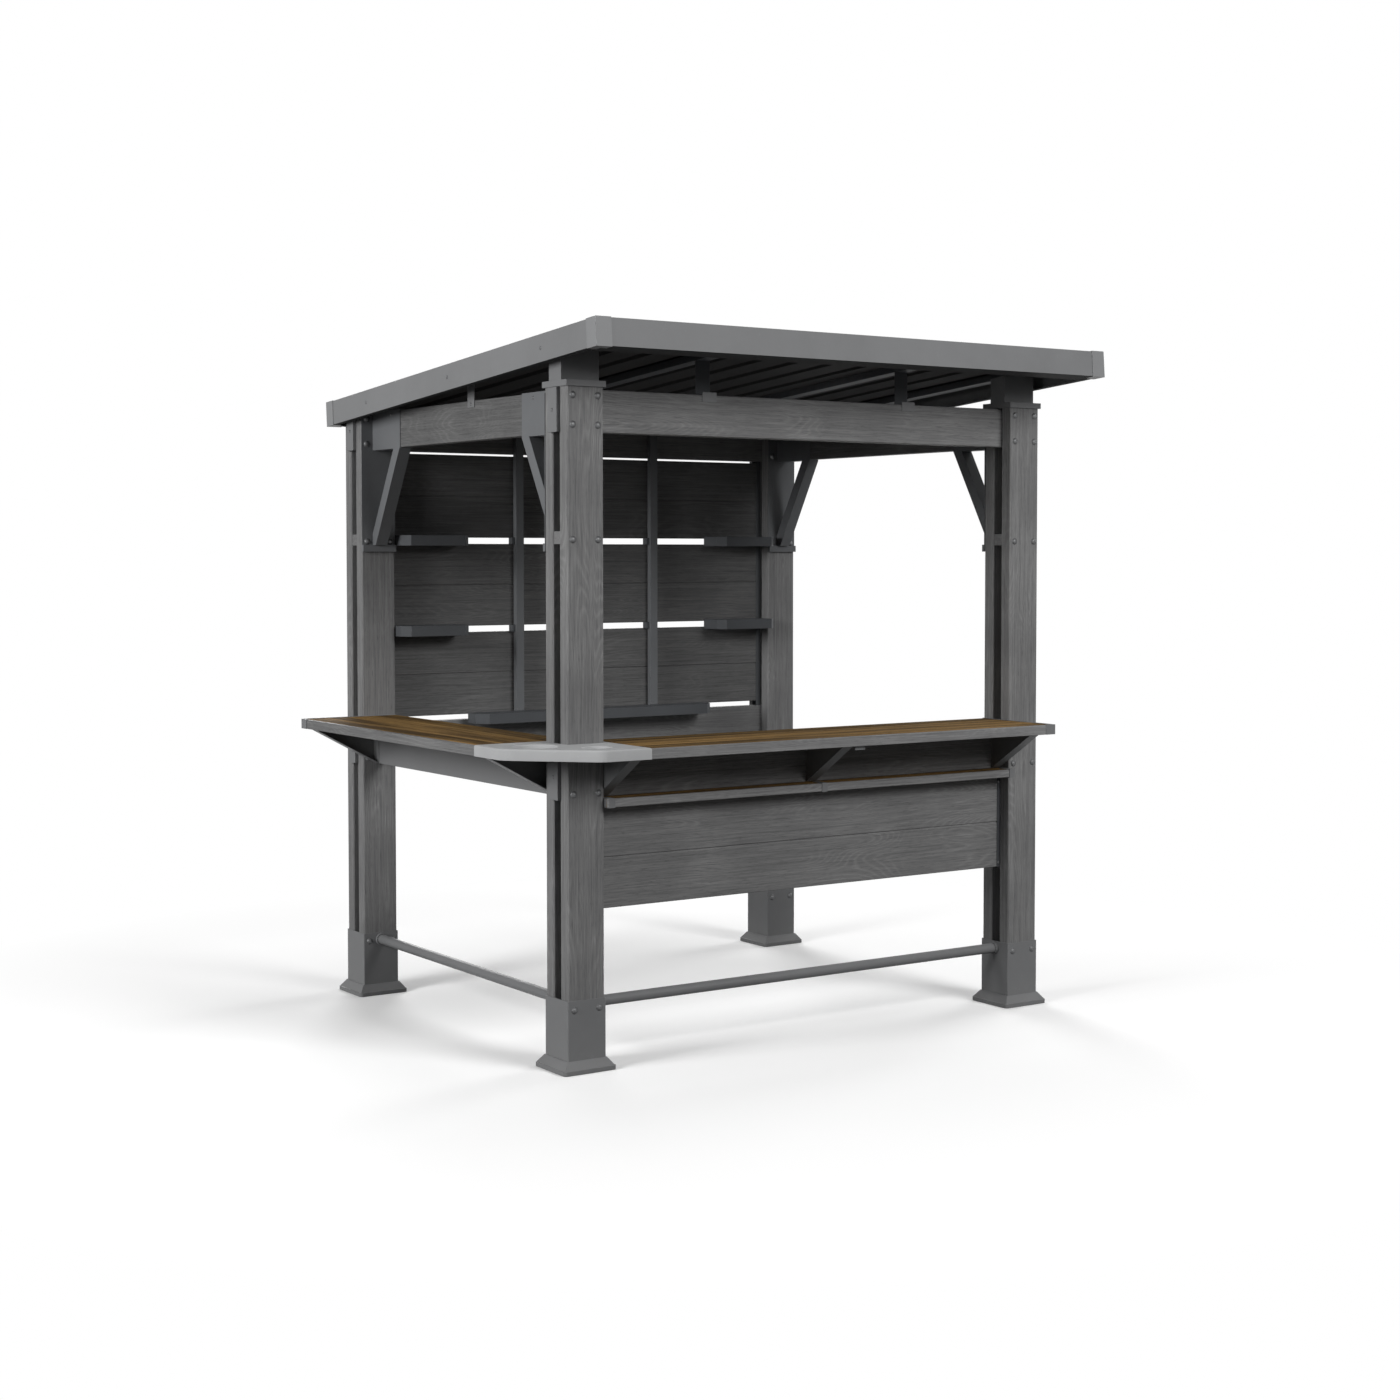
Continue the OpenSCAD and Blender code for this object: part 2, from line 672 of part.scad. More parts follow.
// Counter bracket: wall flange, top arm, a triangular web on its -X side and a flange down
// the web's sloping edge. The wall is the plane y = 0 and it reaches along -Y. An arm longer
// than the web ends in a turned-down tip.
module bracket(web, arm) {
    low = -bracket_h;
    run = web - bracket_steel;
    dx = bracket_steel * norm([run, low]) / bracket_h; // the sloping flange, along the arm
    translate([-bracket_w, -bracket_steel, low]) cube([bracket_w, bracket_steel, bracket_h]);
    translate([-bracket_w, -arm, -bracket_steel]) cube([bracket_w, arm, bracket_steel]);
    if (arm > web) translate([-bracket_w, -arm, -tip_h]) cube([bracket_w, bracket_steel, tip_h]);
    translate([-bracket_w, 0, 0]) rotate([90, 0, 90]) {
        linear_extrude(bracket_steel)
            polygon([[0, 0], [-web, 0], [-bracket_steel, low], [0, low]]);
        linear_extrude(bracket_w) polygon([
            [-web, 0], [-bracket_steel, low], [-bracket_steel, low + dx * bracket_h / run],
            [-web + dx, 0]]);
    }
}

module counter_brackets() color("#66676a") place() {
    to_edging = counter_out - edging_t - gap_half + fit;
    for (x = [-inner_x + bracket_w, bracket_w / 2, inner_x])
        translate([x, -py - gap_half + fit, counter_under])
            bracket(front_reach, x == bracket_w / 2 ? to_edging : front_reach);
    for (y = [-inner_y, inner_y - bracket_w])
        translate([-px - rail_hw, y, counter_under]) rotate([0, 0, -90])
            bracket(left_reach, left_reach);
}

// ---- Foot rails ----

rail_front_l = 2 * (inner_x - sleeve_wall);
rail_left_l = 2 * (inner_y - sleeve_wall);

module tube(l, r, wall) difference() {
    cylinder(h = l, r = r, center = true);
    cylinder(h = l + 2, r = r - wall, center = true);
}

module front_rail_place() translate([0, -py, rail_z]) rotate([0, 90, 0]) children();
module left_rail_place() translate([-px, 0, rail_z]) rotate([90, 0, 0]) children();

module foot_rails() color("#77787a") place() {
    front_rail_place() tube(rail_front_l, rail_d / 2, rail_wall);
    left_rail_place() tube(rail_left_l, rail_d / 2, rail_wall);
}

collar_l = 12;
module collars(l) for (s = [-1, 1]) translate([0, 0, s * (l - collar_l) / 2])
    tube(collar_l, rail_d / 2 + 5, 5 - fit);

module foot_rail_collars() color("#6a6b6d") place() {
    front_rail_place() collars(rail_front_l);
    left_rail_place() collars(rail_left_l);
}

module post_front_left() post(-1, -1, post_top_front + cap_h - 3);
module post_front_right() post(1, -1, post_top_front + cap_h - 3);
module post_back_left() post(-1, 1, post_top_back);
module post_back_right() post(1, 1, post_top_back);
module back_panel_top() wall_panel(py, wall_top - panel_h, panel_h, panel_h / 2);
module back_panel_middle() wall_panel(py, gap_z1 - panel_h, panel_h, panel_h / 2);
module back_panel_lower() wall_panel(py, gap_z2 - panel_h, panel_h, panel_h / 2);

post_front_left();
post_front_right();
post_back_left();
post_back_right();
post_spacers();
base_sleeve(-1, -1);  // base_sleeve_front_left
base_sleeve(1, -1);  // base_sleeve_front_right
base_sleeve(-1, 1);  // base_sleeve_back_left
base_sleeve(1, 1);  // base_sleeve_back_right
post_caps();
cross_beam(-1, beam_z, beam_h);  // front_beam
cross_beam(1, beam_z, beam_h);  // back_beam
side_beams();
cross_beam(-1, mid_beam_z, rail_beam_h);  // front_rail_beam
cross_beam(1, mid_beam_z, rail_beam_h);  // back_rail_beam
left_counter_rail();
beam_end_caps();
knee_bracket(-1, -1);  // knee_bracket_front_left
knee_bracket(1, -1);  // knee_bracket_front_right
knee_bracket(-1, 1);  // knee_bracket_back_left
knee_bracket(1, 1);  // knee_bracket_back_right
fascia_front();
fascia_back();
fascia_side(-1);  // fascia_left
fascia_side(1);  // fascia_right
roof_corner_caps();
roof_sheet();
rafters();
roof_clips();
back_panel_top();
back_panel_middle();
back_panel_lower();
panel_channels();
wall_uprights();
corner_shelves();
long_shelf();
front_panel();
front_ledge();
ledge_clips();
front_counter_planks();
left_counter_planks();
counter_edging();
counter_end_caps();
corner_tray();
counter_brackets();
foot_rails();
foot_rail_collars();
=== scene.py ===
# %% [markdown]
# # Bar gazebo
# This lesson dresses a garden bar shelter: four twin-board posts under a sloping steel roof,
# a back wall of boards with shelves, and an L-shaped counter. The measured model gives every
# board and plate its place. What is left for Blender is what the eye looks for up close: wood
# grain, powder coat, soft edges, bolts and screws.
# %% Load the measured model
import bmesh
import bpy
import math
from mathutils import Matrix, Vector


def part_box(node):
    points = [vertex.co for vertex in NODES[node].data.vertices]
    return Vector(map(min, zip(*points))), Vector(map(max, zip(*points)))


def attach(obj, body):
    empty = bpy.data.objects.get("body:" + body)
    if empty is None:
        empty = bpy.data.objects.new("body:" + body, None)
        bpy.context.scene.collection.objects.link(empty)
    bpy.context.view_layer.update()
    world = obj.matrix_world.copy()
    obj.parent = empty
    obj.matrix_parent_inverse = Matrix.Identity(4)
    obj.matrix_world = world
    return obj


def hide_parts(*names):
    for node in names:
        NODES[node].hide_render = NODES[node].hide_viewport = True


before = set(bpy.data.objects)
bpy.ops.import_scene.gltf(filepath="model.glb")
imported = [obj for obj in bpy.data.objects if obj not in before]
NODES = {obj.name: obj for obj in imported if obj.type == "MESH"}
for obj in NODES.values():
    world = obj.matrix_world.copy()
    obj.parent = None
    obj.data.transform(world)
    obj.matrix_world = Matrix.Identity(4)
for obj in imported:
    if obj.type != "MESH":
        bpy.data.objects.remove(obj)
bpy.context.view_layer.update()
MM = 0.001
ALONG_X, ALONG_Y, ALONG_Z = 0, 1, 2
SIDES = ("front_left", "front_right", "back_left", "back_right")


# %% Two small helpers
def middle(low, high):
    """Half-way between two numbers."""
    return (low + high) / 2


def put_in_scene(name, data):
    """A new object of the given data, linked to the scene."""
    made = bpy.data.objects.new(name, data)
    bpy.context.scene.collection.objects.link(made)
    return made


print("helpers: middle, put_in_scene")

# %% [markdown]
# ## Writing node maths as plain expressions
# Node trees soon turn into spaghetti when each Math node is made by hand. A small class that
# holds one socket and knows the arithmetic operators lets a formula read like a formula, and
# one method makes every other kind of node. The same two work in shaders and in Geometry Nodes.
# %% The wire and the graph
class Wire:
    """One output socket that takes part in arithmetic with numbers and other wires."""

    def __init__(self, graph, socket):
        self.graph, self.socket = graph, socket

    def __add__(self, other):
        return self.graph.maths("ADD", self, other)

    def __sub__(self, other):
        return self.graph.maths("SUBTRACT", self, other)

    def __rsub__(self, other):
        return self.graph.maths("SUBTRACT", other, self)

    def __mul__(self, other):
        return self.graph.maths("MULTIPLY", self, other)

    def __truediv__(self, other):
        return self.graph.maths("DIVIDE", self, other)

    def __rtruediv__(self, other):
        return self.graph.maths("DIVIDE", other, self)

    __radd__, __rmul__ = __add__, __mul__


class Graph:
    """A node tree that is written from Python."""

    def __init__(self, tree):
        self.tree = tree

    def feed(self, socket, value):
        """Links a wire to a socket, or sets the socket to a plain value."""
        if isinstance(value, Wire):
            self.tree.links.new(value.socket, socket)
        else:
            socket.default_value = value

    def node(self, kind, settings=None, inputs=None, output=0):
        """Makes a node: its settings first, then its sockets. Returns one output's wire."""
        made = self.tree.nodes.new(kind)
        for key, value in (settings or {}).items():
            setattr(made, key, value)
        for key, value in (inputs or {}).items():
            self.feed(made.inputs[key], value)
        return Wire(self, made.outputs[output])

    def maths(self, operation, first, second):
        return self.node("ShaderNodeMath", {"operation": operation}, {0: first, 1: second})

    def part(self, place, axis):
        """One of the three numbers of a place."""
        return self.node("ShaderNodeSeparateXYZ", None, {0: place}, output=axis)

    def end(self, kind, socket, value):
        """Feeds the node that the tree ends in."""
        self.feed(self.tree.nodes.new(kind).inputs[socket], value)


print("helpers: Wire for sums, Graph for nodes")

# %% [markdown]
# ## What every finish shares
# Each finish is one Principled surface. Its pattern could come from a picture of wood, but a
# picture repeats and blurs up close, so it is made from noise. The noise is read from Object
# coordinates, which are metres here, so a scale of 400 really is 400 waves to the metre and the
# grain is as fine on a post as on a ledge. Only the colour, the roughness and the bump vary.
# %% A surface and its patterns
class Surface(Graph):
    """A material with a Principled shader and the patterns that the finishes are mixed from."""

    def __init__(self, name, **settings):
        self.material = bpy.data.materials.new(name)
        self.material.use_nodes = True
        super().__init__(self.material.node_tree)
        self.shader = self.tree.nodes["Principled BSDF"]
        for key, value in settings.items():
            self.shader.inputs[key.replace("_", " ")].default_value = value
        self.place = self.node("ShaderNodeTexCoord", output="Object")

    def noise(self, where, scale=1.0, detail=2.0, roughness=0.5, distortion=0.0):
        return self.node("ShaderNodeTexNoise", None, {
            "Vector": where, "Scale": scale, "Detail": detail, "Roughness": roughness,
            "Distortion": distortion})

    def grain(self, axis, along, across, **looks):
        """Noise drawn out along one axis; along and across are waves to the metre."""
        scale = [across] * 3
        scale[axis] = along
        drawn_out = self.node("ShaderNodeMapping", None, {"Vector": self.place, "Scale": scale})
        return self.noise(drawn_out, **looks)

    def between(self, value, low, high, to_low=0.0, to_high=1.0):
        """value from low to high, as to_low to to_high, held at the ends."""
        return self.node("ShaderNodeMapRange", None, {
            "Value": value, "From Min": low, "From Max": high,
            "To Min": to_low, "To Max": to_high})

    def contours(self, value):
        """A wave that goes from 0 to 1 and back each time that value grows by one."""
        return self.maths("PINGPONG", value, 0.5) * 2.0

    def blend(self, factor, first, second):
        """A colour between two colours."""
        return self.node("ShaderNodeMix", {"data_type": "RGBA"}, {
            0: factor, 6: first, 7: second}, output=2)

    def finish(self, colour, roughness, height, depth):
        """Wires up the colour, the roughness and a bump that is depth metres deep."""
        self.feed(self.shader.inputs["Base Color"], colour)
        self.feed(self.shader.inputs["Roughness"], roughness)
        bump = self.node("ShaderNodeBump", None, {
            "Strength": 1.0, "Distance": depth, "Height": height})
        self.feed(self.shader.inputs["Normal"], bump)
        return self.material


def grey(level, tint=(1.0, 1.0, 1.0)):
    """A colour from one level and a slight tint, for a colour socket."""
    return tuple(level * t for t in tint) + (1.0,)


print("surfaces read Object coordinates, in metres")

# %% [markdown]
# ## Telling the boards apart
# Two boards cut from the same tree never show the same figure. Each board could have a material
# of its own, but one that works out which board a point lies in is enough for all of them. The
# board's number goes through White Noise, which gives a fixed random value, and that value
# moves the pattern and changes the tone a little. A pitch of a whole metre parts pieces that
# lie far apart, such as the front beam and the back beam.
# %% A number and a random value for each board
BOARDS_IN_A_ROW = 7.0
BOARD_SHIFT = (9.0, 5.0, 7.0)
METRE = 1.0


def board_number(surface, rows):
    """A number for the board that a point lies in, from (axis, start, pitch) rows."""
    number = 0.5
    for order, (axis, start, pitch) in enumerate(rows):
        step = (surface.part(surface.place, axis) - start) / pitch
        number = surface.maths("FLOOR", step, 0.0) * BOARDS_IN_A_ROW ** order + number
    return number


def part_boards(surface, rows):
    """Moves the pattern by a fixed random amount in each board, and returns the board's value."""
    own = surface.node("ShaderNodeTexWhiteNoise", {"noise_dimensions": "1D"}, {
        "W": board_number(surface, rows)})
    offset = surface.node("ShaderNodeCombineXYZ", None, {
        axis: own * shift for axis, shift in zip("XYZ", BOARD_SHIFT)})
    surface.place = surface.node("ShaderNodeVectorMath", {"operation": "ADD"}, {
        0: surface.place, 1: offset})
    return own


print("up to", int(BOARDS_IN_A_ROW), "boards in a row are told apart")

# %% [markdown]
# ## Charcoal stained wood
# The posts, beams and wall boards are softwood under a charcoal stain. Stain sinks into the
# pores and leaves the hard late-wood lines a little paler, so the figure shows as low-contrast
# arches with fine fibres over them. Arches are the contour lines of a smooth noise that is
# drawn out along the board. Fibres and pores are two finer noises, drawn out more.
# %% Charcoal wood along one axis
STAIN, PALE_STAIN, PORE_STAIN = 0.102, 0.241, 0.046
GRAIN_DEPTH = 0.6 * MM
RINGS = 44.0


def charcoal_wood(name, axis, level=1.0, rows=()):
    """Stained softwood with its grain along axis; level makes the stain lighter or darker, and on
    the wall boards it also paints shade.
    """
    wood = Surface(name, IOR=1.45, Specular_IOR_Level=0.12)
    mottle = wood.noise(wood.place, scale=3.5, detail=3.0)
    own = part_boards(wood, rows)
    figure = wood.grain(axis, 0.9, 8.0, detail=1.0, distortion=0.25)
    fibres = wood.grain(axis, 7.0, 380.0, detail=3.0, roughness=0.6)
    bands = wood.grain(axis, 2.0, 105.0, detail=4.0, roughness=0.64)
    pores = wood.between(wood.grain(axis, 30.0, 800.0, detail=1.0), 0.60, 0.72)
    arches = wood.contours(figure * RINGS + fibres * 0.5 + bands * 0.5)
    late_wood = wood.between(arches, 0.45, 1.0) * wood.between(mottle, 0.42, 0.62)
    tone = late_wood * 0.15 + bands * 0.52 + fibres * 0.54 + mottle * 0.22 + own * 0.10
    colour = wood.blend(wood.between(tone, 0.50, 1.00), grey(STAIN * level, (1.0, 1.0, 1.015)),
                        grey(PALE_STAIN * level, (1.0, 0.999, 0.995)))
    colour = wood.blend(pores * 0.42, colour, grey(PORE_STAIN * level))
    roughness = wood.between(tone, 0.4, 1.0, 0.68, 0.55)
    height = fibres * 0.5 + late_wood * 0.15 + bands * 0.35 - pores * 0.5
    return wood.finish(colour, roughness, height, GRAIN_DEPTH)


print("charcoal wood:", RINGS, "contour lines, grain", GRAIN_DEPTH / MM, "mm deep")

# %% Where the boards lie
front_post_low, front_post_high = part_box("post_front_left")
back_post_low, back_post_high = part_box("post_back_left")
front_post_y = middle(front_post_low.y, front_post_high.y)
back_post_y = middle(back_post_low.y, back_post_high.y)
lower_low, lower_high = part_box("back_panel_lower")
wall_board = (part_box("back_panel_middle")[0].z - lower_low.z) / 2
wall_seam = middle(lower_low.z, lower_high.z)
FRONT_BOARD = 168 * MM
front_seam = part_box("front_panel")[0].z + FRONT_BOARD
EDGING_SPLIT, BEAM_SPLIT = 1.0, 1.5
print("wall board pitch, mm:", round(wall_board / MM, 1))

# %% The charcoal woods
POST_WOOD = charcoal_wood("post_wood", ALONG_Z, 1.0, (
    (ALONG_Y, front_post_y, back_post_y - front_post_y), (ALONG_X, 0.0, METRE)))
BEAM_WOOD = charcoal_wood("beam_wood", ALONG_X, 0.88, (
    (ALONG_Y, 0.0, METRE), (ALONG_Z, BEAM_SPLIT, METRE)))
SIDE_BEAM_WOOD = charcoal_wood("side_beam_wood", ALONG_Y, 0.62, ((ALONG_X, 0.0, METRE),))
# The wall boards' darker level is painted shade for the dim inside under the roof, not a darker
# stain.
WALL_WOOD_PAINTED_SHADE = charcoal_wood("wall_wood_painted_shade", ALONG_X, 0.60, ((ALONG_Z, wall_seam, wall_board),))
PANEL_WOOD = charcoal_wood("panel_wood", ALONG_X, 0.86, ((ALONG_Z, front_seam, METRE),))
EDGE_WOOD = charcoal_wood("edging_wood", ALONG_X, 1.05, ((ALONG_Z, EDGING_SPLIT, METRE),))
EDGE_WOOD_SIDE = charcoal_wood("edging_wood_side", ALONG_Y, 0.80)
print("charcoal woods:", [m.name for m in bpy.data.materials if "wood" in m.name])

# %% [markdown]
# ## Brown counter planks
# The counter is the one warm thing on the shelter: brown planks with long dark streaks, no two
# alike. They are told apart like the boards, by their number across the counter. The streaks
# are the same drawn-out noise with a sharp threshold, so that they begin and end softly along
# the plank but have clear edges across it.
# %% Streaked planks
PLANK_DARK, PLANK_BRIGHT = (0.046, 0.030, 0.013, 1), (0.307, 0.186, 0.071, 1)
PLANK_STREAK, PLANK_PORE = (0.036, 0.025, 0.015, 1), (0.020, 0.013, 0.008, 1)
PLANK_GRAIN_DEPTH = 0.5 * MM


def streaked_planks(name, axis, edge, pitch):
    """Planks that run along axis and follow each other across it, pitch apart from edge."""
    across = ALONG_Y if axis == ALONG_X else ALONG_X
    wood = Surface(name, IOR=1.3, Specular_IOR_Level=0.03)
    own = part_boards(wood, ((across, edge, pitch),))
    arches = wood.contours(wood.grain(axis, 1.1, 10.0, detail=1.5, distortion=0.4) * 24.0)
    fibres = wood.grain(axis, 6.0, 330.0, detail=3.0, roughness=0.65)
    bands = wood.grain(axis, 1.2, 46.0, detail=4.0, roughness=0.65)
    streaks = wood.between(wood.grain(axis, 0.9, 26.0, detail=5.0, roughness=0.66), 0.44, 0.60)
    pores = wood.between(wood.grain(axis, 26.0, 760.0, detail=1.0), 0.60, 0.72)
    tone = (wood.between(bands, 0.34, 0.66) * 0.45 + wood.between(fibres, 0.3, 0.7) * 0.28
            + arches * 0.14 + own * 0.52)
    colour = wood.blend(wood.between(tone, 0.20, 1.12), PLANK_DARK, PLANK_BRIGHT)
    colour = wood.blend(streaks * 0.85, colour, PLANK_STREAK)
    colour = wood.blend(pores * 0.55, colour, PLANK_PORE)
    roughness = wood.between(tone, 0.3, 1.0, 0.84, 0.72)
    height = fibres * 0.5 + bands * 0.3 - pores * 0.6
    return wood.finish(colour, roughness, height, PLANK_GRAIN_DEPTH)


print("planks: streaks over", PLANK_GRAIN_DEPTH / MM, "mm of grain")

# %% The counter's planks and the drink ledge
PLANKS = 4
front_low, front_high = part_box("front_counter_planks")
left_low, left_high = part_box("left_counter_planks")
ledge_low, ledge_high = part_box("front_ledge")
front_plank = (front_high.y - front_low.y) / PLANKS
left_plank = (left_high.x - left_low.x) / PLANKS
FRONT_PLANKS = streaked_planks("front_plank_wood", ALONG_X, front_low.y, front_plank)
LEFT_PLANKS = streaked_planks("left_plank_wood", ALONG_Y, left_low.x, left_plank)
LEDGE_PLANK = streaked_planks("ledge_wood", ALONG_X, ledge_low.y - 1.0, 2.0)
print("plank pitch, mm:", round(front_plank / MM, 1), "and", round(left_plank / MM, 1))

# %% [markdown]
# ## Powder-coated steel
# Powder coat is a matt skin with a faint orange-peel texture. It is never one flat colour: it
# pools slightly, and dust dulls it near the ground. A very fine noise makes the peel, two
# coarse ones the clouding and a few rubbed places, and height above the ground the dust.
# %% Powder coat
DUST = (0.26, 0.245, 0.22, 1.0)
PEEL_DEPTH = 0.12 * MM
PALEST_RUB = 0.8


def powder_coat(name, level, tint=(0.985, 1.0, 1.02), gloss=0.46, dust=True, shine=0.14):
    """Matt paint of one level; gloss is its roughness, and shine how much it mirrors."""
    coat = Surface(name, IOR=1.5, Specular_IOR_Level=shine)
    peel = coat.noise(coat.place, scale=750.0, detail=2.0)
    cloud = coat.noise(coat.place, scale=2.6, detail=4.0, roughness=0.6)
    wear = coat.noise(coat.place, scale=38.0, detail=5.0, roughness=0.7)
    rub = coat.between(wear, 0.60, 0.74)
    tone = cloud * 0.75 + peel * 0.25
    colour = coat.blend(coat.between(tone, 0.32, 0.68),
                        grey(level * 0.88, tint), grey(level * 1.10, tint))
    colour = coat.blend(rub * 0.12, colour, grey(min(level * 1.9, PALEST_RUB), tint))
    if dust:
        above_ground = coat.part(coat.place, ALONG_Z) + cloud * 0.12
        colour = coat.blend(coat.between(above_ground, 0.03, 0.20, 0.07, 0.0), colour, DUST)
    roughness = coat.between(cloud, 0.3, 0.7, gloss - 0.05, gloss + 0.06) + rub * 0.08
    return coat.finish(colour, roughness, peel + rub * 0.25, PEEL_DEPTH)


print("powder coat: peel", PEEL_DEPTH / MM, "mm deep")

# %% The coats
BLUISH, MORE_BLUISH, NEUTRAL = (0.965, 1.0, 1.045), (0.95, 1.0, 1.07), (0.99, 1.0, 1.01)
BARE_STEEL = 0.55
GREY_COAT = powder_coat("grey_powder_coat", 0.155)
# A darker, bluish coat: partly the brackets' own tone, partly painted shade for the knee plates
# under the roof. The wall uprights share it.
KNEE_COAT = powder_coat("knee_bracket_coat", 0.122, BLUISH, dust=False)
FASCIA_COAT = powder_coat("fascia_powder_coat", 0.172, gloss=0.42, dust=False)
CAP_COAT = powder_coat("corner_cap_coat", 0.205, gloss=0.40, dust=False)
TRAY_COAT = powder_coat("tray_paint", 0.371, NEUTRAL, gloss=0.56, dust=False)
DARK_COAT = powder_coat(
    "dark_powder_coat", 0.071, MORE_BLUISH, gloss=0.5, dust=False, shine=0.08)
ROOF_COAT = powder_coat("roof_sheet_coat", 0.049, gloss=0.60, dust=False, shine=0.01)
BOLT_COAT = powder_coat("bolt_coat", 0.124, gloss=0.50, dust=False)
BOLT_COAT.node_tree.nodes["Principled BSDF"].inputs["Metallic"].default_value = BARE_STEEL
print("powder coats:", [m.name for m in bpy.data.materials if "coat" in m.name])

# %% [markdown]
# ## Giving the measured parts their finish
# The measured nodes already have the right shapes, so they stay and only take a material.
# A few nodes hold boards that lie in two directions, or steel and wood together. They could be
# cut apart, but it is enough to share their faces out between two materials, by where each
# face is or which way it looks, so that the grain always runs along the board. The fascias and
# the roof clips are shared out for painted shade: their faces under the roof take a dark coat.
# %% Nodes with one finish
def paint(names, finishes, pick=None):
    """Gives each named node its finishes; pick(face) is true for faces of the second one."""
    for name in names:
        mesh = NODES[name].data
        mesh.materials.clear()
        for finish in finishes:
            mesh.materials.append(finish)
        for face in mesh.polygons:
            face.material_index = int(pick(face)) if pick else 0


for finish, names in (
        (POST_WOOD, [f"post_{side}" for side in SIDES]),
        (BEAM_WOOD, ["post_spacers", "front_beam", "back_beam", "front_rail_beam",
                     "back_rail_beam"]),
        (SIDE_BEAM_WOOD, ["side_beams"]),
        (WALL_WOOD_PAINTED_SHADE, ["back_panel_top", "back_panel_middle", "back_panel_lower"]),
        (PANEL_WOOD, ["front_panel"]),
        (FRONT_PLANKS, ["front_counter_planks"]),
        (LEFT_PLANKS, ["left_counter_planks"]),
        (GREY_COAT, [f"base_sleeve_{side}" for side in SIDES]),
        (GREY_COAT, ["left_counter_rail", "beam_end_caps", "post_caps", "ledge_clips",
                     "counter_end_caps", "counter_brackets", "foot_rails",
                     "foot_rail_collars"]),
        (KNEE_COAT, [f"knee_bracket_{side}" for side in SIDES] + ["wall_uprights"]),
        (CAP_COAT, ["roof_corner_caps"]),
        (DARK_COAT, ["panel_channels", "corner_shelves", "long_shelf", "rafters"]),
        (ROOF_COAT, ["roof_sheet"]),
        (TRAY_COAT, ["corner_tray"])):
    paint(names, [finish])
    print(finish.name, "on", len(names), "nodes")

# %% Nodes with two finishes
FACES_DOWN = -0.5
LAP = 1 * MM
FRONT_CLIP_REACH = 60 * MM
top_beam_low, top_beam_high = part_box("front_beam")


def is_underside(face):
    return face.normal.z < FACES_DOWN


def is_ledge_end(face):
    return min(face.center.x - ledge_low.x, ledge_high.x - face.center.x) < LAP


def is_front_clip_over_beam(face):
    at_front = face.center.y < top_beam_high.y + FRONT_CLIP_REACH
    return at_front and face.center.z > top_beam_high.z + LAP


def is_left_edging(face):
    return face.center.x < left_low.x + LAP


# The fascias' downward faces take the dark roof coat, as painted shade on the soffit.
paint([f"fascia_{side}" for side in ("front", "back", "left", "right")],
      [FASCIA_COAT, ROOF_COAT], is_underside)
paint(["front_ledge"], [LEDGE_PLANK, GREY_COAT], is_ledge_end)
# The front clips' faces above the beam take the dark coat, as painted shade under the roof.
paint(["roof_clips"], [GREY_COAT, DARK_COAT], is_front_clip_over_beam)
paint(["counter_edging"], [EDGE_WOOD, EDGE_WOOD_SIDE], is_left_edging)
print("nodes without a finish:", [n for n in NODES if not NODES[n].data.materials])

# %% [markdown]
# ## Soft edges
# Nothing made in a workshop has a perfectly sharp edge, and without a rounded edge there is no
# highlight along it. The edges could be rounded in the measured model, but modifiers do it here
# and leave that model simple. Its meshes are loose triangles, so a small Geometry Nodes tree
# joins them first, Decimate clears the flat diagonals, and Bevel then rounds what is left.
# %% A tree that joins loose triangles
MERGE_GAP = 0.01 * MM
SOFT_BEND = math.radians(28)


def joining_tree():
    """Joins loose triangles, and shades across the bends that are gentler than SOFT_BEND."""
    tree = bpy.data.node_groups.new("join_triangles", "GeometryNodeTree")
    for direction in ("INPUT", "OUTPUT"):
        tree.interface.new_socket(
            "Geometry", in_out=direction, socket_type="NodeSocketGeometry")
    graph = Graph(tree)
    bare = graph.node("GeometryNodeRemoveAttribute", None, {
        "Geometry": graph.node("NodeGroupInput"), "Name": "custom_normal"})
    joined = graph.node("GeometryNodeMergeByDistance", None, {
        "Geometry": bare, "Distance": MERGE_GAP})
    soft = graph.node("FunctionNodeCompare", {"operation": "LESS_THAN"}, {
        0: graph.node("GeometryNodeInputMeshEdgeAngle"), 1: SOFT_BEND})
    edges = graph.node("GeometryNodeSetShadeSmooth", {"domain": "EDGE"}, {
        "Geometry": joined, "Shade Smooth": soft})
    faces = graph.node("GeometryNodeSetShadeSmooth", {"domain": "FACE"}, {
        "Geometry": edges, "Shade Smooth": True})
    graph.end("NodeGroupOutput", 0, faces)
    return tree


JOINING = joining_tree()
print("joining tree:", len(JOINING.nodes), "nodes")

# %% Round the edges
FLAT, SHARP_BEND = math.radians(0.5), math.radians(30)
FINE_EDGE = 0.7
EDGE_RADIUS = {
    "post_": 1.6, "front_beam": 2.0, "back_beam": 2.0, "side_beams": 2.0, "front_rail": 2.0,
    "back_rail": 2.0, "back_panel": 1.5, "front_panel": 1.5, "front_counter": 2.0,
    "left_counter_planks": 2.0, "front_ledge": 2.0, "counter_edging": 2.5, "base_sleeve": 2.0,
    "corner_tray": 1.4, "left_counter_rail": 1.5}


def soften(thing, width):
    """Joins, clears and rounds a measured node, with modifiers."""
    join = thing.modifiers.new("Join", "NODES")
    join.node_group = JOINING
    flat = thing.modifiers.new("Flat", "DECIMATE")
    flat.decimate_type, flat.angle_limit, flat.delimit = "DISSOLVE", FLAT, {"MATERIAL"}
    bevel = thing.modifiers.new("Bevel", "BEVEL")
    bevel.width, bevel.segments = width, 2
    bevel.limit_method, bevel.angle_limit = "ANGLE", SHARP_BEND
    bevel.harden_normals = True


for name, node in NODES.items():
    radii = [radius for start, radius in EDGE_RADIUS.items() if name.startswith(start)]
    soften(node, (radii[0] if radii else FINE_EDGE) * MM)
print("rounded edges on", len(NODES), "nodes")

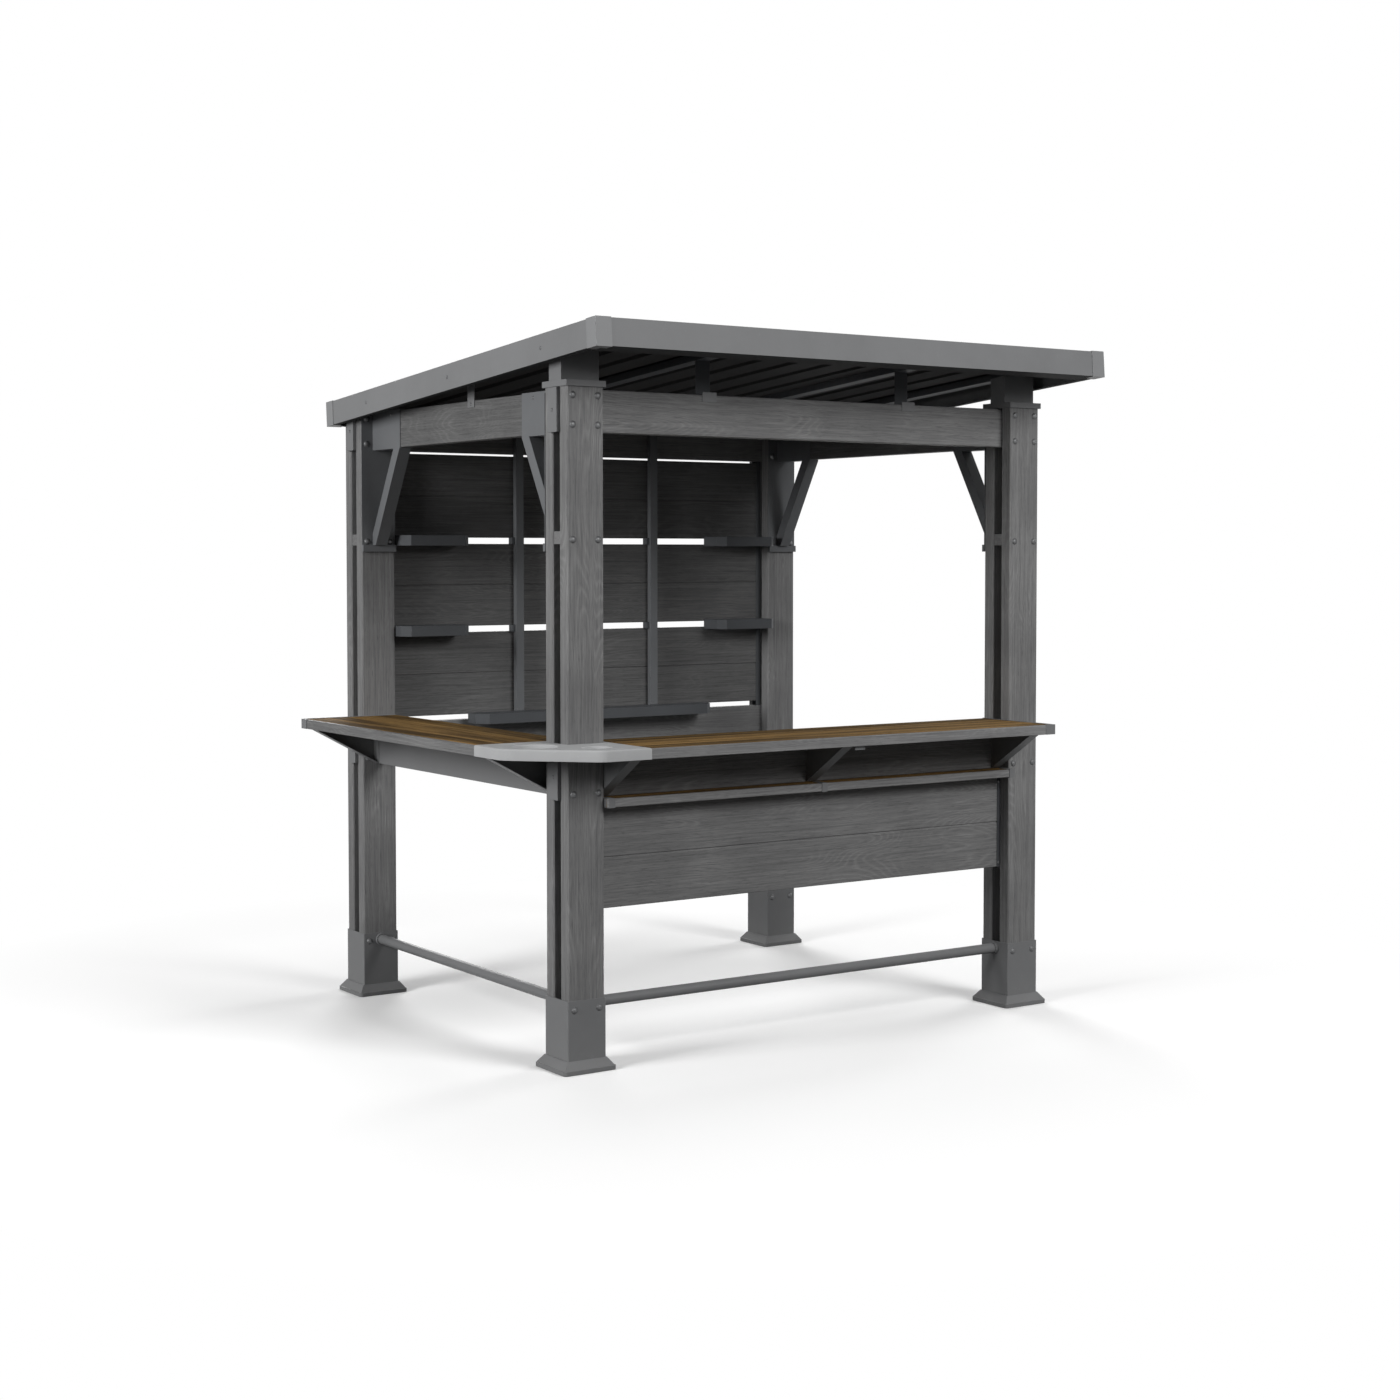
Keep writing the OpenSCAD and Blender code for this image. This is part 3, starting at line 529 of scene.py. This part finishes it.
# %% [markdown]
# ## Bolts and screws
# Coach bolts clamp each pair of post boards on the beams, and smaller screws hold the fascia,
# the brackets and the roof sheet. Each could be a copied object, but they all repeat, so each
# kind is one Geometry Nodes tree that puts a head on every point it is given. The points are a
# mesh that holds only vertices, and the sizes are inputs of the tree, in metres.
# %% The two shapes of head
WASHER_WIDER, WASHER_THINNER = 1.28, 0.30
ROUND_SIDES, DOME_RINGS, HEX_SIDES = 20, 10, 6
CUT_BELOW = -0.1 * MM


def domed_head(graph, radius, height):
    """The upper half of a ball, pressed down to the height of the head."""
    ball = graph.node("GeometryNodeMeshUVSphere", None, {
        "Segments": ROUND_SIDES, "Rings": DOME_RINGS, "Radius": radius})
    scale = graph.node("ShaderNodeCombineXYZ", None, {"X": 1.0, "Y": 1.0, "Z": height / radius})
    squat = graph.node("GeometryNodeTransform", None, {"Geometry": ball, "Scale": scale})
    up = graph.part(graph.node("GeometryNodeInputPosition"), ALONG_Z)
    below = graph.node("FunctionNodeCompare", {"operation": "LESS_THAN"}, {
        0: up, 1: CUT_BELOW})
    return graph.node("GeometryNodeDeleteGeometry", {"domain": "POINT"}, {
        "Geometry": squat, "Selection": below})


def hex_head(graph, radius, height):
    """A six-sided block that stands on the washer's middle."""
    block = graph.node("GeometryNodeMeshCylinder", None, {
        "Vertices": HEX_SIDES, "Radius": radius, "Depth": height})
    lift = graph.node("ShaderNodeCombineXYZ", None, {"Z": height / 2.0})
    return graph.node("GeometryNodeTransform", None, {"Geometry": block, "Translation": lift})


print("heads: domed and six-sided")

# %% The tree for a head on each point
HEAD_INPUTS = (
    ("Points", "NodeSocketGeometry"), ("Head Radius", "NodeSocketFloat"),
    ("Head Height", "NodeSocketFloat"), ("Turn", "NodeSocketRotation"),
    ("Finish", "NodeSocketMaterial"))


def heads_tree(name, head_shape):
    """A washer with a head on each point, turned the same way; returns the tree and its inputs."""
    tree = bpy.data.node_groups.new(name, "GeometryNodeTree")
    sockets = {}
    for title, kind in HEAD_INPUTS:
        made = tree.interface.new_socket(title, in_out="INPUT", socket_type=kind)
        sockets[title] = made.identifier
    tree.interface.new_socket("Heads", in_out="OUTPUT", socket_type="NodeSocketGeometry")
    graph = Graph(tree)
    given = {title: graph.node("NodeGroupInput", output=title) for title in sockets}
    radius, height = given["Head Radius"], given["Head Height"]
    washer = graph.node("GeometryNodeMeshCylinder", None, {
        "Vertices": ROUND_SIDES, "Radius": radius * WASHER_WIDER,
        "Depth": height * WASHER_THINNER})
    both = tree.nodes.new("GeometryNodeJoinGeometry")
    graph.feed(both.inputs[0], head_shape(graph, radius, height))
    graph.feed(both.inputs[0], washer)
    placed = graph.node("GeometryNodeInstanceOnPoints", None, {
        "Points": given["Points"], "Instance": Wire(graph, both.outputs[0]),
        "Rotation": given["Turn"]})
    real = graph.node("GeometryNodeRealizeInstances", None, {"Geometry": placed})
    painted = graph.node("GeometryNodeSetMaterial", None, {
        "Geometry": real, "Material": given["Finish"]})
    graph.end("NodeGroupOutput", 0, painted)
    return tree, sockets


DOMED = heads_tree("domed_heads", domed_head)
HEXED = heads_tree("hex_heads", hex_head)
print("head trees take:", list(DOMED[1]))

# %% Make heads and ride them on the frame
QUARTER = math.pi / 2
TO_FRONT, TO_BACK = (QUARTER, 0, 0), (-QUARTER, 0, 0)
TO_LEFT, TO_RIGHT = (0, -QUARTER, 0), (0, QUARTER, 0)


def bake_modifiers(thing):
    """Turns an object and its modifiers into a plain mesh."""
    view = bpy.context.evaluated_depsgraph_get()
    mesh = bpy.data.meshes.new_from_object(thing.evaluated_get(view))
    thing.modifiers.clear()
    thing.data = mesh


def ride_root(thing):
    """Hands a finished piece to the frame's one body."""
    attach(thing, "root")


def heads(name, points, turn, size, kind=DOMED, finish=BOLT_COAT):
    """Heads on points as one piece; size is (radius, height) in millimetres."""
    tree, sockets = kind
    cloud = bpy.data.meshes.new(name)
    cloud.from_pydata([tuple(p) for p in points], [], [])
    thing = put_in_scene(name, cloud)
    build = thing.modifiers.new("Heads", "NODES")
    build.node_group = tree
    build[sockets["Head Radius"]], build[sockets["Head Height"]] = size[0] * MM, size[1] * MM
    build[sockets["Turn"]] = turn
    build[sockets["Finish"]] = finish
    bake_modifiers(thing)
    for face in thing.data.polygons:
        face.use_smooth = kind is DOMED
    ride_root(thing)
    print(name, len(points), "heads,", len(thing.data.polygons), "faces")


print("heads can face the front, the back and both sides")

# %% [markdown]
# ## Bolts through the posts
# Through-bolts show in pairs where a beam or a spacer is clamped between the boards, on the
# outer faces of every post, and in one pair on each steel sleeve. Their heights could be typed
# in, but they follow the beams and spacers, so they are worked out from those boxes. Where a
# knee bracket's plate lies on the board, the heads sit on the plate.
# %% The rows of bolts
COACH_BOLT = (9.5, 5.0)
BOLT_SIDE = 47 * MM
PLATE = 3 * MM
BELOW_BEAM_TOP, ABOVE_BEAM_FOOT, BELOW_SPACER_MIDDLE = 24 * MM, 21 * MM, 6 * MM
ABOVE_RAIL_FOOT, BELOW_SLEEVE_TOP = 19 * MM, 30 * MM
rail_beam_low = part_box("front_rail_beam")[0]
spacer_z = sum(corner.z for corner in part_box("post_spacers")) / 2
plated_rows = (top_beam_high.z - BELOW_BEAM_TOP, top_beam_low.z + ABOVE_BEAM_FOOT,
               spacer_z - BELOW_SPACER_MIDDLE)
rail_row = rail_beam_low.z + ABOVE_RAIL_FOOT
print("bolt rows, mm:", [round(z / MM) for z in plated_rows + (rail_row,)])

# %% Place the post bolts
front_points, back_points = [], []
for side in SIDES:
    low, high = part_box(f"post_{side}")
    sleeve_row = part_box(f"base_sleeve_{side}")[1].z - BELOW_SLEEVE_TOP
    on_front = PLATE if side.startswith("back") else 0.0
    on_back = PLATE - on_front
    post_x = middle(low.x, high.x)
    for x in (post_x - BOLT_SIDE, post_x + BOLT_SIDE):
        front_points += [(x, low.y - on_front, z) for z in plated_rows]
        back_points += [(x, high.y + on_back, z) for z in plated_rows]
        front_points += [(x, low.y, rail_row), (x, low.y - PLATE, sleeve_row)]
        back_points += [(x, high.y, rail_row), (x, high.y + PLATE, sleeve_row)]
heads("post_bolts_front", front_points, TO_FRONT, COACH_BOLT)
heads("post_bolts_back", back_points, TO_BACK, COACH_BOLT)

# %% [markdown]
# ## Screws on the steelwork
# Small screws hold the side fascias, the knee brackets' boxes, the beam end caps, the side
# clips and the ends of the front panel. The left side and the right side are alike, so one
# function places both. The roof sheet is screwed down to its rafters with six-sided heads. A
# ray dropped on the sheet finds the height for each, whether it meets a rib or the flat.
# %% The roof's slope
SLOPE = math.radians(4.4)
roof_low, roof_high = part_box("roof_sheet")


def roof_plane(y, depth=0.0):
    """Height at y of a plane parallel to the roof sheet, depth above its underside."""
    return roof_low.z + (roof_high.y - y) * math.tan(SLOPE) + depth / math.cos(SLOPE)


print("roof falls, mm:", round((roof_plane(roof_low.y) - roof_plane(roof_high.y)) / MM))

# %% Screws on both sides
FASCIA_SCREW, STEEL_SCREW = (5.5, 1.8), (5.0, 2.6)
FASCIA_PLACES = (-650 * MM, 0.0, 650 * MM)
FASCIA_MIDDLE = -19 * MM
HALF_BEAM, HALF_BOX = 19 * MM, 22 * MM
KNEE_FROM_POST, KNEE_BELOW_TOP = 160 * MM, 16 * MM
CLIP_Y, CLIP_BELOW_TOP = 24 * MM, 13 * MM
ABOVE_TOP_BEAM_FOOT, ABOVE_LOW_BEAM_FOOT = 70 * MM, 72 * MM
side_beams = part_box("side_beams")
beam_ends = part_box("beam_end_caps")


def side_screws(side, sign, turn):
    """The screws of one long side; sign is -1 on the left and 1 on the right."""
    corner = 0 if sign < 0 else 1
    fascia_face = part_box(f"fascia_{side}")[corner].x
    heads(f"fascia_screws_{side}", [
        (fascia_face, y, roof_plane(y, FASCIA_MIDDLE)) for y in FASCIA_PLACES],
        turn, FASCIA_SCREW)
    box_face = side_beams[corner].x - sign * HALF_BEAM + sign * HALF_BOX
    beam_top = side_beams[1].z
    points = [(box_face, y, beam_top - KNEE_BELOW_TOP) for y in (
        front_post_high.y + KNEE_FROM_POST, back_post_low.y - KNEE_FROM_POST)]
    for y in (front_post_y, back_post_y):
        points += [(beam_ends[corner].x, y, top_beam_low.z + ABOVE_TOP_BEAM_FOOT),
                   (beam_ends[corner].x, y, rail_beam_low.z + ABOVE_LOW_BEAM_FOOT)]
    points.append((box_face, CLIP_Y, beam_top - CLIP_BELOW_TOP))
    heads(f"steel_screws_{side}", points, turn, STEEL_SCREW)


side_screws("left", -1, TO_LEFT)
side_screws("right", 1, TO_RIGHT)

# %% Screws at the ends of the front panel
PANEL_SCREW = (4.6, 2.6)
CHANNEL_MIDDLE = 7 * MM
PANEL_ROWS = (16 * MM, 318 * MM)
channel_low, channel_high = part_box("panel_channels")
panel_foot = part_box("front_panel")[0].z
heads("panel_end_screws", [
    (x, channel_low.y, panel_foot + up)
    for x in (channel_low.x + CHANNEL_MIDDLE, channel_high.x - CHANNEL_MIDDLE)
    for up in PANEL_ROWS], TO_FRONT, PANEL_SCREW)

# %% Screw the roof sheet down
ROOF_SCREW = (6.5, 4.5)
RAFTERS_FROM_MIDDLE = (-988 * MM, -380 * MM, 380 * MM, 988 * MM)
ROOF_MARGIN, ROOF_ROWS = 60 * MM, 7
row_pitch = (roof_high.y - roof_low.y - 2 * ROOF_MARGIN) / (ROOF_ROWS - 1)
roof_middle = middle(roof_low.x, roof_high.x)
screw_points = []
for across in RAFTERS_FROM_MIDDLE:
    for row in range(ROOF_ROWS):
        start = (roof_middle + across, roof_low.y + ROOF_MARGIN + row * row_pitch,
                 roof_high.z + 1.0)
        met, spot = NODES["roof_sheet"].ray_cast(start, (0, 0, -1))[:2]
        if met:
            screw_points.append(spot)
heads("roof_screws", screw_points, (-SLOPE, 0, 0), ROOF_SCREW, HEXED, GREY_COAT)

# %% [markdown]
# ## Blocks behind the uprights
# In each gap of the back wall a small dark block joins the upright to the boards above and
# below. A cube could be added and scaled for each, but a finished piece has to sit unscaled at
# the origin, so they are made from their corners, with rounded edges.
# %% Make blocks from corners
BLOCK_FACES = ((0, 1, 3, 2), (4, 6, 7, 5), (0, 4, 5, 1), (2, 3, 7, 6), (0, 2, 6, 4), (1, 5, 7, 3))


def blocks(name, corners, finish, radius):
    """Boxes from (low, high) corners as one piece, with rounded edges."""
    points, faces = [], []
    for low, high in corners:
        first = len(points)
        points += [(x, y, z) for x in (low[0], high[0]) for y in (low[1], high[1])
                   for z in (low[2], high[2])]
        faces += [[first + i for i in face] for face in BLOCK_FACES]
    mesh = bpy.data.meshes.new(name)
    mesh.from_pydata(points, [], faces)
    mesh.materials.append(finish)
    for face in mesh.polygons:
        face.use_smooth = True
    thing = put_in_scene(name, mesh)
    bevel = thing.modifiers.new("Bevel", "BEVEL")
    bevel.width, bevel.segments, bevel.harden_normals = radius, 2, True
    bake_modifiers(thing)
    ride_root(thing)
    print(name, len(corners), "blocks")


print("a block has", len(BLOCK_FACES), "faces")

# %% Place the blocks
UPRIGHT_WIDTH = 34 * MM
BLOCK_LEFT, BLOCK_RIGHT = 13 * MM, 7 * MM
INTO_UPRIGHT, INTO_WALL, OVER_BOARDS = 14 * MM, 8 * MM, 2 * MM
BLOCK_EDGE = 1.5 * MM
upright_low, upright_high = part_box("wall_uprights")
lower, centre, upper = (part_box(f"back_panel_{part}") for part in ("lower", "middle", "top"))
block_corners = [
    ((x - BLOCK_LEFT, upright_high.y - INTO_UPRIGHT, below[1].z - OVER_BOARDS),
     (x + UPRIGHT_WIDTH + BLOCK_RIGHT, lower[0].y + INTO_WALL, above[0].z + OVER_BOARDS))
    for x in (upright_low.x, upright_high.x - UPRIGHT_WIDTH)
    for below, above in ((lower, centre), (centre, upper))]
blocks("gap_blocks", block_corners, DARK_COAT, BLOCK_EDGE)

# %% [markdown]
# ## Corner tray
# The tray over the corner post is one pressed sheet: a flat top with soft edges, a turned-down
# skirt and two round wells for a bucket and a cup. The measured node has the right outline but
# sharp edges, so a better piece takes its place. Its skirt and edge are the same outline drawn
# in ring by ring, the flat is filled between the rings, and Solidify gives the sheet its wall.
# %% The tray's outline
TRAY_CUT, TRAY_ROUND = 233 * MM, 60 * MM
ARC_STEPS = 8
tray_low, tray_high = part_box("corner_tray")


def tray_ring(inset, z):
    """The tray's outline drawn in by inset, at height z: a square with one corner cut off."""
    left, front = tray_low.x + inset, tray_low.y + inset
    right, back = tray_high.x - inset, tray_high.y - inset
    cut = TRAY_CUT - inset * (2 - math.sqrt(2))
    radius = TRAY_ROUND - inset
    tangent = radius * math.tan(math.radians(22.5))

    def arc(x, y, first):
        """An eighth of a turn round a centre, from an angle in degrees."""
        angles = [math.radians(first + 45 * i / ARC_STEPS) for i in range(ARC_STEPS + 1)]
        return [(x + radius * math.cos(a), y + radius * math.sin(a), z) for a in angles]

    return ([(left, back, z)] + arc(left + radius, front + cut + tangent, 180)
            + arc(left + cut + tangent, front + radius, 225)
            + [(right, front, z), (right, back, z)])


print("tray outline:", len(tray_ring(0, tray_low.z)), "points")

# %% Rings, rounds and circles
ROUND_STEPS, CIRCLE_POINTS = 5, 56


def add_rings(sheet, rings):
    """Skins closed rings of equal length, one to the next, and returns their vertices."""
    loops = [[sheet.verts.new(p) for p in ring] for ring in rings]
    for first, second in zip(loops, loops[1:]):
        for i in range(len(first)):
            k = (i + 1) % len(first)
            sheet.faces.new((first[i], first[k], second[k], second[i]))
    return loops


def quarter_round(radius):
    """(in, up) offsets along a quarter round, from upright to flat."""
    return [(radius * (1 - math.cos(a)), radius * math.sin(a))
            for a in (math.pi / 2 * i / ROUND_STEPS for i in range(ROUND_STEPS + 1))]


def circle(x, y, radius, z):
    angles = [2 * math.pi * i / CIRCLE_POINTS for i in range(CIRCLE_POINTS)]
    return [(x + radius * math.cos(a), y + radius * math.sin(a), z) for a in angles]


print("a round has", ROUND_STEPS, "steps, and a well", CIRCLE_POINTS, "sides")

# %% The skirt, the wells and the flat between them
TRAY_EDGE, WELL_LIP, WELL_DEPTH = 6 * MM, 4 * MM, 28 * MM
POST_CLEARANCE = 0.4 * MM
BUCKET_WELL = (-190 * MM, -67 * MM, 76 * MM)
CUP_WELL = (-40 * MM, -207 * MM, 48 * MM)


def add_skirt(sheet):
    """The tray's side and its rounded top edge; returns the inner border."""
    shoulder = tray_high.z - TRAY_EDGE
    return add_rings(sheet, [tray_ring(0, tray_low.z)] + [
        tray_ring(inwards, shoulder + up) for inwards, up in quarter_round(TRAY_EDGE)])[-1]


def add_well(sheet, from_post_x, from_post_y, radius):
    """A round well with a soft rim and a soft foot; returns its border with the flat."""
    x = middle(front_post_low.x, front_post_high.x) + from_post_x
    y = front_post_y + from_post_y
    top, foot = tray_high.z - WELL_LIP, tray_high.z - WELL_DEPTH + WELL_LIP
    rim = [circle(x, y, radius + out, top + up) for out, up in quarter_round(WELL_LIP)]
    bend = [circle(x, y, radius - inwards, foot - down)
            for inwards, down in quarter_round(WELL_LIP)]
    loops = add_rings(sheet, rim[::-1] + bend)
    sheet.faces.new(loops[-1])
    return loops[0]


def add_post_hole(sheet):
    """The four corners of the square that the post stands in."""
    left, right = front_post_low.x - POST_CLEARANCE, front_post_high.x + POST_CLEARANCE
    front, back = front_post_low.y - POST_CLEARANCE, front_post_high.y + POST_CLEARANCE
    return [sheet.verts.new((x, y, tray_high.z)) for x, y in (
        (left, front), (right, front), (right, back), (left, back))]


def build_tray():
    """The pressed sheet as a mesh without thickness, with its faces pointing out."""
    sheet = bmesh.new()
    borders = [add_skirt(sheet), add_well(sheet, *BUCKET_WELL), add_well(sheet, *CUP_WELL),
               add_post_hole(sheet)]
    edges = []
    for loop in borders:
        for i, vertex in enumerate(loop):
            pair = (vertex, loop[(i + 1) % len(loop)])
            edges.append(sheet.edges.get(pair) or sheet.edges.new(pair))
    bmesh.ops.triangle_fill(sheet, use_beauty=True, edges=edges, normal=(0, 0, 1))
    bmesh.ops.recalc_face_normals(sheet, faces=sheet.faces)
    if max(sheet.faces, key=lambda f: f.calc_center_median().z).normal.z < 0:
        bmesh.ops.reverse_faces(sheet, faces=sheet.faces)
    mesh = bpy.data.meshes.new("corner_tray_pressed")
    sheet.to_mesh(mesh)
    sheet.free()
    return mesh


tray_mesh = build_tray()
print("tray sheet:", len(tray_mesh.polygons), "faces before it gets its wall")

# %% Give the tray its wall
SHEET_WALL, SHEET_EDGE = 2.2 * MM, 0.6 * MM
tray_mesh.materials.append(TRAY_COAT)
for face in tray_mesh.polygons:
    face.use_smooth = True
tray = put_in_scene("corner_tray_pressed", tray_mesh)
wall = tray.modifiers.new("Wall", "SOLIDIFY")
wall.thickness, wall.offset = SHEET_WALL, -1.0
corners = tray.modifiers.new("Corners", "BEVEL")
corners.width, corners.segments, corners.limit_method = SHEET_EDGE, 2, "ANGLE"
corners.angle_limit, corners.harden_normals = math.radians(40), True
bake_modifiers(tray)
ride_root(tray)
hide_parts("corner_tray")
print("tray:", len(tray.data.polygons), "faces")

# %% [markdown]
# ## Camera and lamps
# The camera stands at the height of a tall person's eyes, off the front left corner, and looks
# down a little. Large lamps give soft highlights and soft shadows, so all four are broad discs.
# The key on the left makes the left faces the brighter ones, and the others are there to keep
# every side readable.
# %% Camera
EYE = (-4.4737, -6.7941, 1.6856)
LOOK_DOWN, LOOK_RIGHT = 2.303, 34.22
FOCAL_LENGTH, SENSOR = 56.28, 36
camera = put_in_scene("camera", bpy.data.cameras.new("camera"))
camera.location = EYE
camera.rotation_euler = (math.radians(90 - LOOK_DOWN), 0, math.radians(-LOOK_RIGHT))
camera.data.lens, camera.data.sensor_width = FOCAL_LENGTH, SENSOR
camera.data.shift_x, camera.data.shift_y = -0.01146, -0.0419
bpy.context.scene.camera = camera
print("camera height, m:", round(EYE[2], 2))

# %% Lamps
CHEST, WAIST = (0, 0, 1.2), (0, 0, 1.0)


def lamp(name, place, aim, size, power):
    """A round soft lamp, size metres across and power watts strong, aimed at a point."""
    made = put_in_scene(name, bpy.data.lights.new(name, "AREA"))
    made.location = place
    made.rotation_euler = (Vector(aim) - Vector(place)).to_track_quat("-Z", "Y").to_euler()
    made.data.shape, made.data.size, made.data.energy = "DISK", size, power
    print(name, "lamp,", power, "W")


lamp("key", (-8.0, -0.8, 3.2), CHEST, 3.2, 545)
lamp("fill", (2.0, -7.8, 5.0), WAIST, 4.0, 545)
lamp("rim", (2.5, 7.5, 4.6), CHEST, 4.0, 375)
lamp("side", (8.0, 1.5, 3.4), CHEST, 3.6, 255)

# %% [markdown]
# ## World and floor
# A white room would light the shelter from every side and wash its shadows out. So the world
# and the floor are white only on rays that show them to the eye, straight or in a mirror. All
# other rays meet a dim world and a dark floor, which send only a little light back up, and the
# undersides stay dark. The floor's shadow fades into plain white away from the shelter.
# %% A dim world that looks white
SKY_LIGHT = 0.14
WHITE = (1, 1, 1, 1)


def seen_directly(graph):
    """1 on rays that show a surface to the eye, straight, in a mirror or through glass."""
    seen = graph.node("ShaderNodeLightPath", output="Is Camera Ray")
    for kind in ("Is Glossy Ray", "Is Transmission Ray"):
        seen = graph.maths("MAXIMUM", seen, graph.node("ShaderNodeLightPath", output=kind))
    return seen


def mix_shaders(graph, factor, first, second):
    return graph.node("ShaderNodeMixShader", None, {0: factor, 1: first, 2: second})


world = bpy.data.worlds.new("studio")
bpy.context.scene.world = world
world.use_nodes = True
sky = Graph(world.node_tree)
sky.tree.nodes.clear()
dim, white = (sky.node("ShaderNodeBackground", None, {"Color": WHITE, "Strength": strength})
              for strength in (SKY_LIGHT, 1.0))
sky.end("ShaderNodeOutputWorld", "Surface", mix_shaders(sky, seen_directly(sky), dim, white))
print("world light:", SKY_LIGHT)

# %% A floor that keeps a soft shadow
HALF_FLOOR = 40.0
SHADOW_FADES, SHADOW_ENDS = 1.6, 3.2
DARK_FLOOR = grey(0.10)
floor_mesh = bpy.data.meshes.new("floor")
floor_mesh.from_pydata([(HALF_FLOOR * x, HALF_FLOOR * y, -MM) for x, y in (
    (-1, -1), (1, -1), (1, 1), (-1, 1))], [], [(0, 1, 2, 3)])
floor = put_in_scene("floor", floor_mesh)
paper = bpy.data.materials.new("pale_floor")
paper.use_nodes = True
ground = Graph(paper.node_tree)
ground.tree.nodes.clear()
reach = ground.node("ShaderNodeVectorMath", {"operation": "LENGTH"}, {
    0: ground.node("ShaderNodeTexCoord", output="Object")}, output="Value")
far = ground.node("ShaderNodeMapRange", None, {
    "Value": reach, "From Min": SHADOW_FADES, "From Max": SHADOW_ENDS})
shadowed = ground.node("ShaderNodeBsdfDiffuse", None, {"Color": WHITE})
glow = ground.node("ShaderNodeEmission", None, {"Color": WHITE, "Strength": 1.0})
to_eye = mix_shaders(ground, far, shadowed, glow)
to_object = ground.node("ShaderNodeBsdfDiffuse", None, {"Color": DARK_FLOOR})
ground.end("ShaderNodeOutputMaterial", "Surface",
           mix_shaders(ground, seen_directly(ground), to_object, to_eye))
floor.data.materials.append(paper)
bpy.context.scene.view_settings.view_transform = "Standard"
print("floor shadow ends, m:", SHADOW_ENDS)
